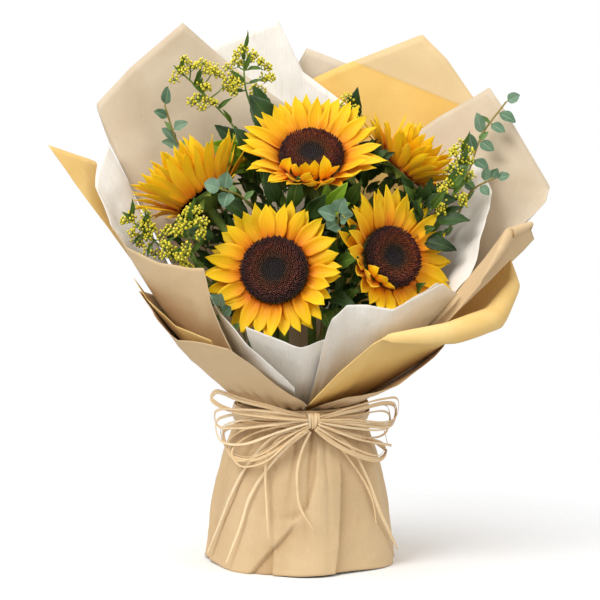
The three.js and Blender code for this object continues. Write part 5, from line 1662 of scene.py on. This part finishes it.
def foliage():
    """Loose leaves on short stalks that fill the gaps between the heads."""
    groups = {"dark": Build(), "mid": Build()}
    for i, (at, way, length, width, green) in enumerate(FOLIAGE):
        blade(groups[green], above_tie(at), way, (0.15 * math.sin(i), -1, 0.6), length, width,
              i * 3.1 + 7, droop=0.3, inside=True)
    groups["dark"].piece("foliage_dark", [DARK_LEAF], "sunflower_leaf", thick=LEAF_THICKNESS)
    groups["mid"].piece("foliage_mid", [MID_LEAF], "fresh_leaf", thick=LEAF_THICKNESS)


def back_spray():
    """A short goldenrod tip that shows over the top flower's right shoulder."""
    build = Build()
    foot = above_tie((26, 40, 236))
    buds = [(47, 34, 310), (40, 34, 300), (54, 34, 299), (46, 33, 291), (57, 34, 288)]
    for n, place in enumerate(buds):
        at = above_tie(place)
        tube(build, spline([foot, (foot + at) / 2 + [4, 0, -4], at], 12), 0.6, 6, kind=1)
        spray_of_buds(build, at, 14, 4.8, 70 + n)
    build.piece("goldenrod_tip_back", [BUD, SHOOT], "goldenrod")


for shoot in EUCALYPTUS:
    eucalyptus(shoot)
for spray in GOLDENROD:
    goldenrod(spray)
for leaf_number, broad_leaf in enumerate(LEAVES):
    cad_leaf(broad_leaf, leaf_number)
foliage()
thickets()
back_spray()


def twine():
    """The string that binds the stems."""
    build = Build()
    share = np.linspace(0, 1, TWINE_TURNS * 48)
    line = around(360 * TWINE_TURNS * share, TWINE_RING, TIE_HEIGHT + TWINE_TALL * (share - 0.5))
    tube(build, line, 0.75, 8, across=0.2, own=0.3)
    build.piece("binding_twine_turns", [TWINE], "twine", replaces=("binding_twine",))


twine()


# ------------------------------------------------------------ light and floor
def world_light():
    """A white wall behind the bunch, which lights it less than it shows."""
    w = bpy.data.worlds.new("studio")
    bpy.context.scene.world = w
    w.use_nodes = True
    t = w.node_tree
    t.nodes.clear()
    kinds = ("OutputWorld", "Background", "Background", "LightPath", "MixShader")
    out, lit, seen, path, mix = [t.nodes.new("ShaderNode" + kind) for kind in kinds]
    lit.inputs["Color"].default_value = (1.0, 0.99, 0.97, 1)
    lit.inputs["Strength"].default_value = WORLD_LIGHT
    seen.inputs["Color"].default_value = (1, 1, 1, 1)
    t.links.new(path.outputs["Is Camera Ray"], mix.inputs[0])
    t.links.new(lit.outputs[0], mix.inputs[1])
    t.links.new(seen.outputs[0], mix.inputs[2])
    t.links.new(mix.outputs[0], out.inputs[0])


def lamp(name, place, target, power, size):
    data = bpy.data.lights.new(name, "AREA")
    data.energy = power
    data.size = size
    ob = bpy.data.objects.new(name, data)
    ob.location = place
    ob.rotation_euler = (Vector(place) - Vector(target)).to_track_quat("Z", "Y").to_euler()
    bpy.context.scene.collection.objects.link(ob)


def floor():
    mesh = bpy.data.meshes.new("floor")
    corners = [(x * FLOOR_HALF, y * FLOOR_HALF, 0) for x, y in ((-1, -1), (1, -1), (1, 1), (-1, 1))]
    mesh.from_pydata(corners, [], [[0, 1, 2, 3]])
    paint = Shader("floor", 0.9, specular=0.0)
    cloud = paint.noise(paint.place(), 0.5)
    paint.colour(paint.ramp(cloud, FLOOR_TONES))
    # the floor fades into the white studio wall away from the bunch
    far = paint.node("VectorMath", operation="LENGTH")
    paint.join(paint.scaled(paint.place(), (0.9, 1.0, 1.0)), far.inputs[0])
    mix = paint.node("MixShader")
    paint.join(paint.span(far.outputs["Value"], FLOOR_SOLID, FLOOR_GONE), mix.inputs[0])
    paint.join(paint.body.outputs[0], mix.inputs[1])
    paint.join(paint.node("BsdfTransparent").outputs[0], mix.inputs[2])
    paint.join(mix.outputs[0], paint.end.inputs["Surface"])
    mesh.materials.append(paint.material)
    ob = bpy.data.objects.new("floor", mesh)
    bpy.context.scene.collection.objects.link(ob)


WORLD_LIGHT = 0.60
FLOOR_HALF = 6.0
FLOOR_TONES = [(0.0, (247.0, 247.0, 247.0)), (1.0, (249.3, 249.3, 249.3))]
# the floor is solid up to the first distance from the axis and gone from the second, in metres
FLOOR_SOLID = 0.12
FLOOR_GONE = 0.42
CENTRE = (float(AXIS[0]), float(AXIS[1]), 0.28)
world_light()
lamp("key", (CENTRE[0] - 1.5, CENTRE[1] - 1.5, 2.2), CENTRE, power=60, size=1.4)
lamp("fill", (CENTRE[0] + 1.6, CENTRE[1] - 1.2, 0.9), CENTRE, power=10, size=1.4)
lamp("top", (CENTRE[0], CENTRE[1] + 0.1, 2.2), CENTRE, power=16, size=1.6)
floor()
bpy.context.scene.view_settings.view_transform = "Standard"
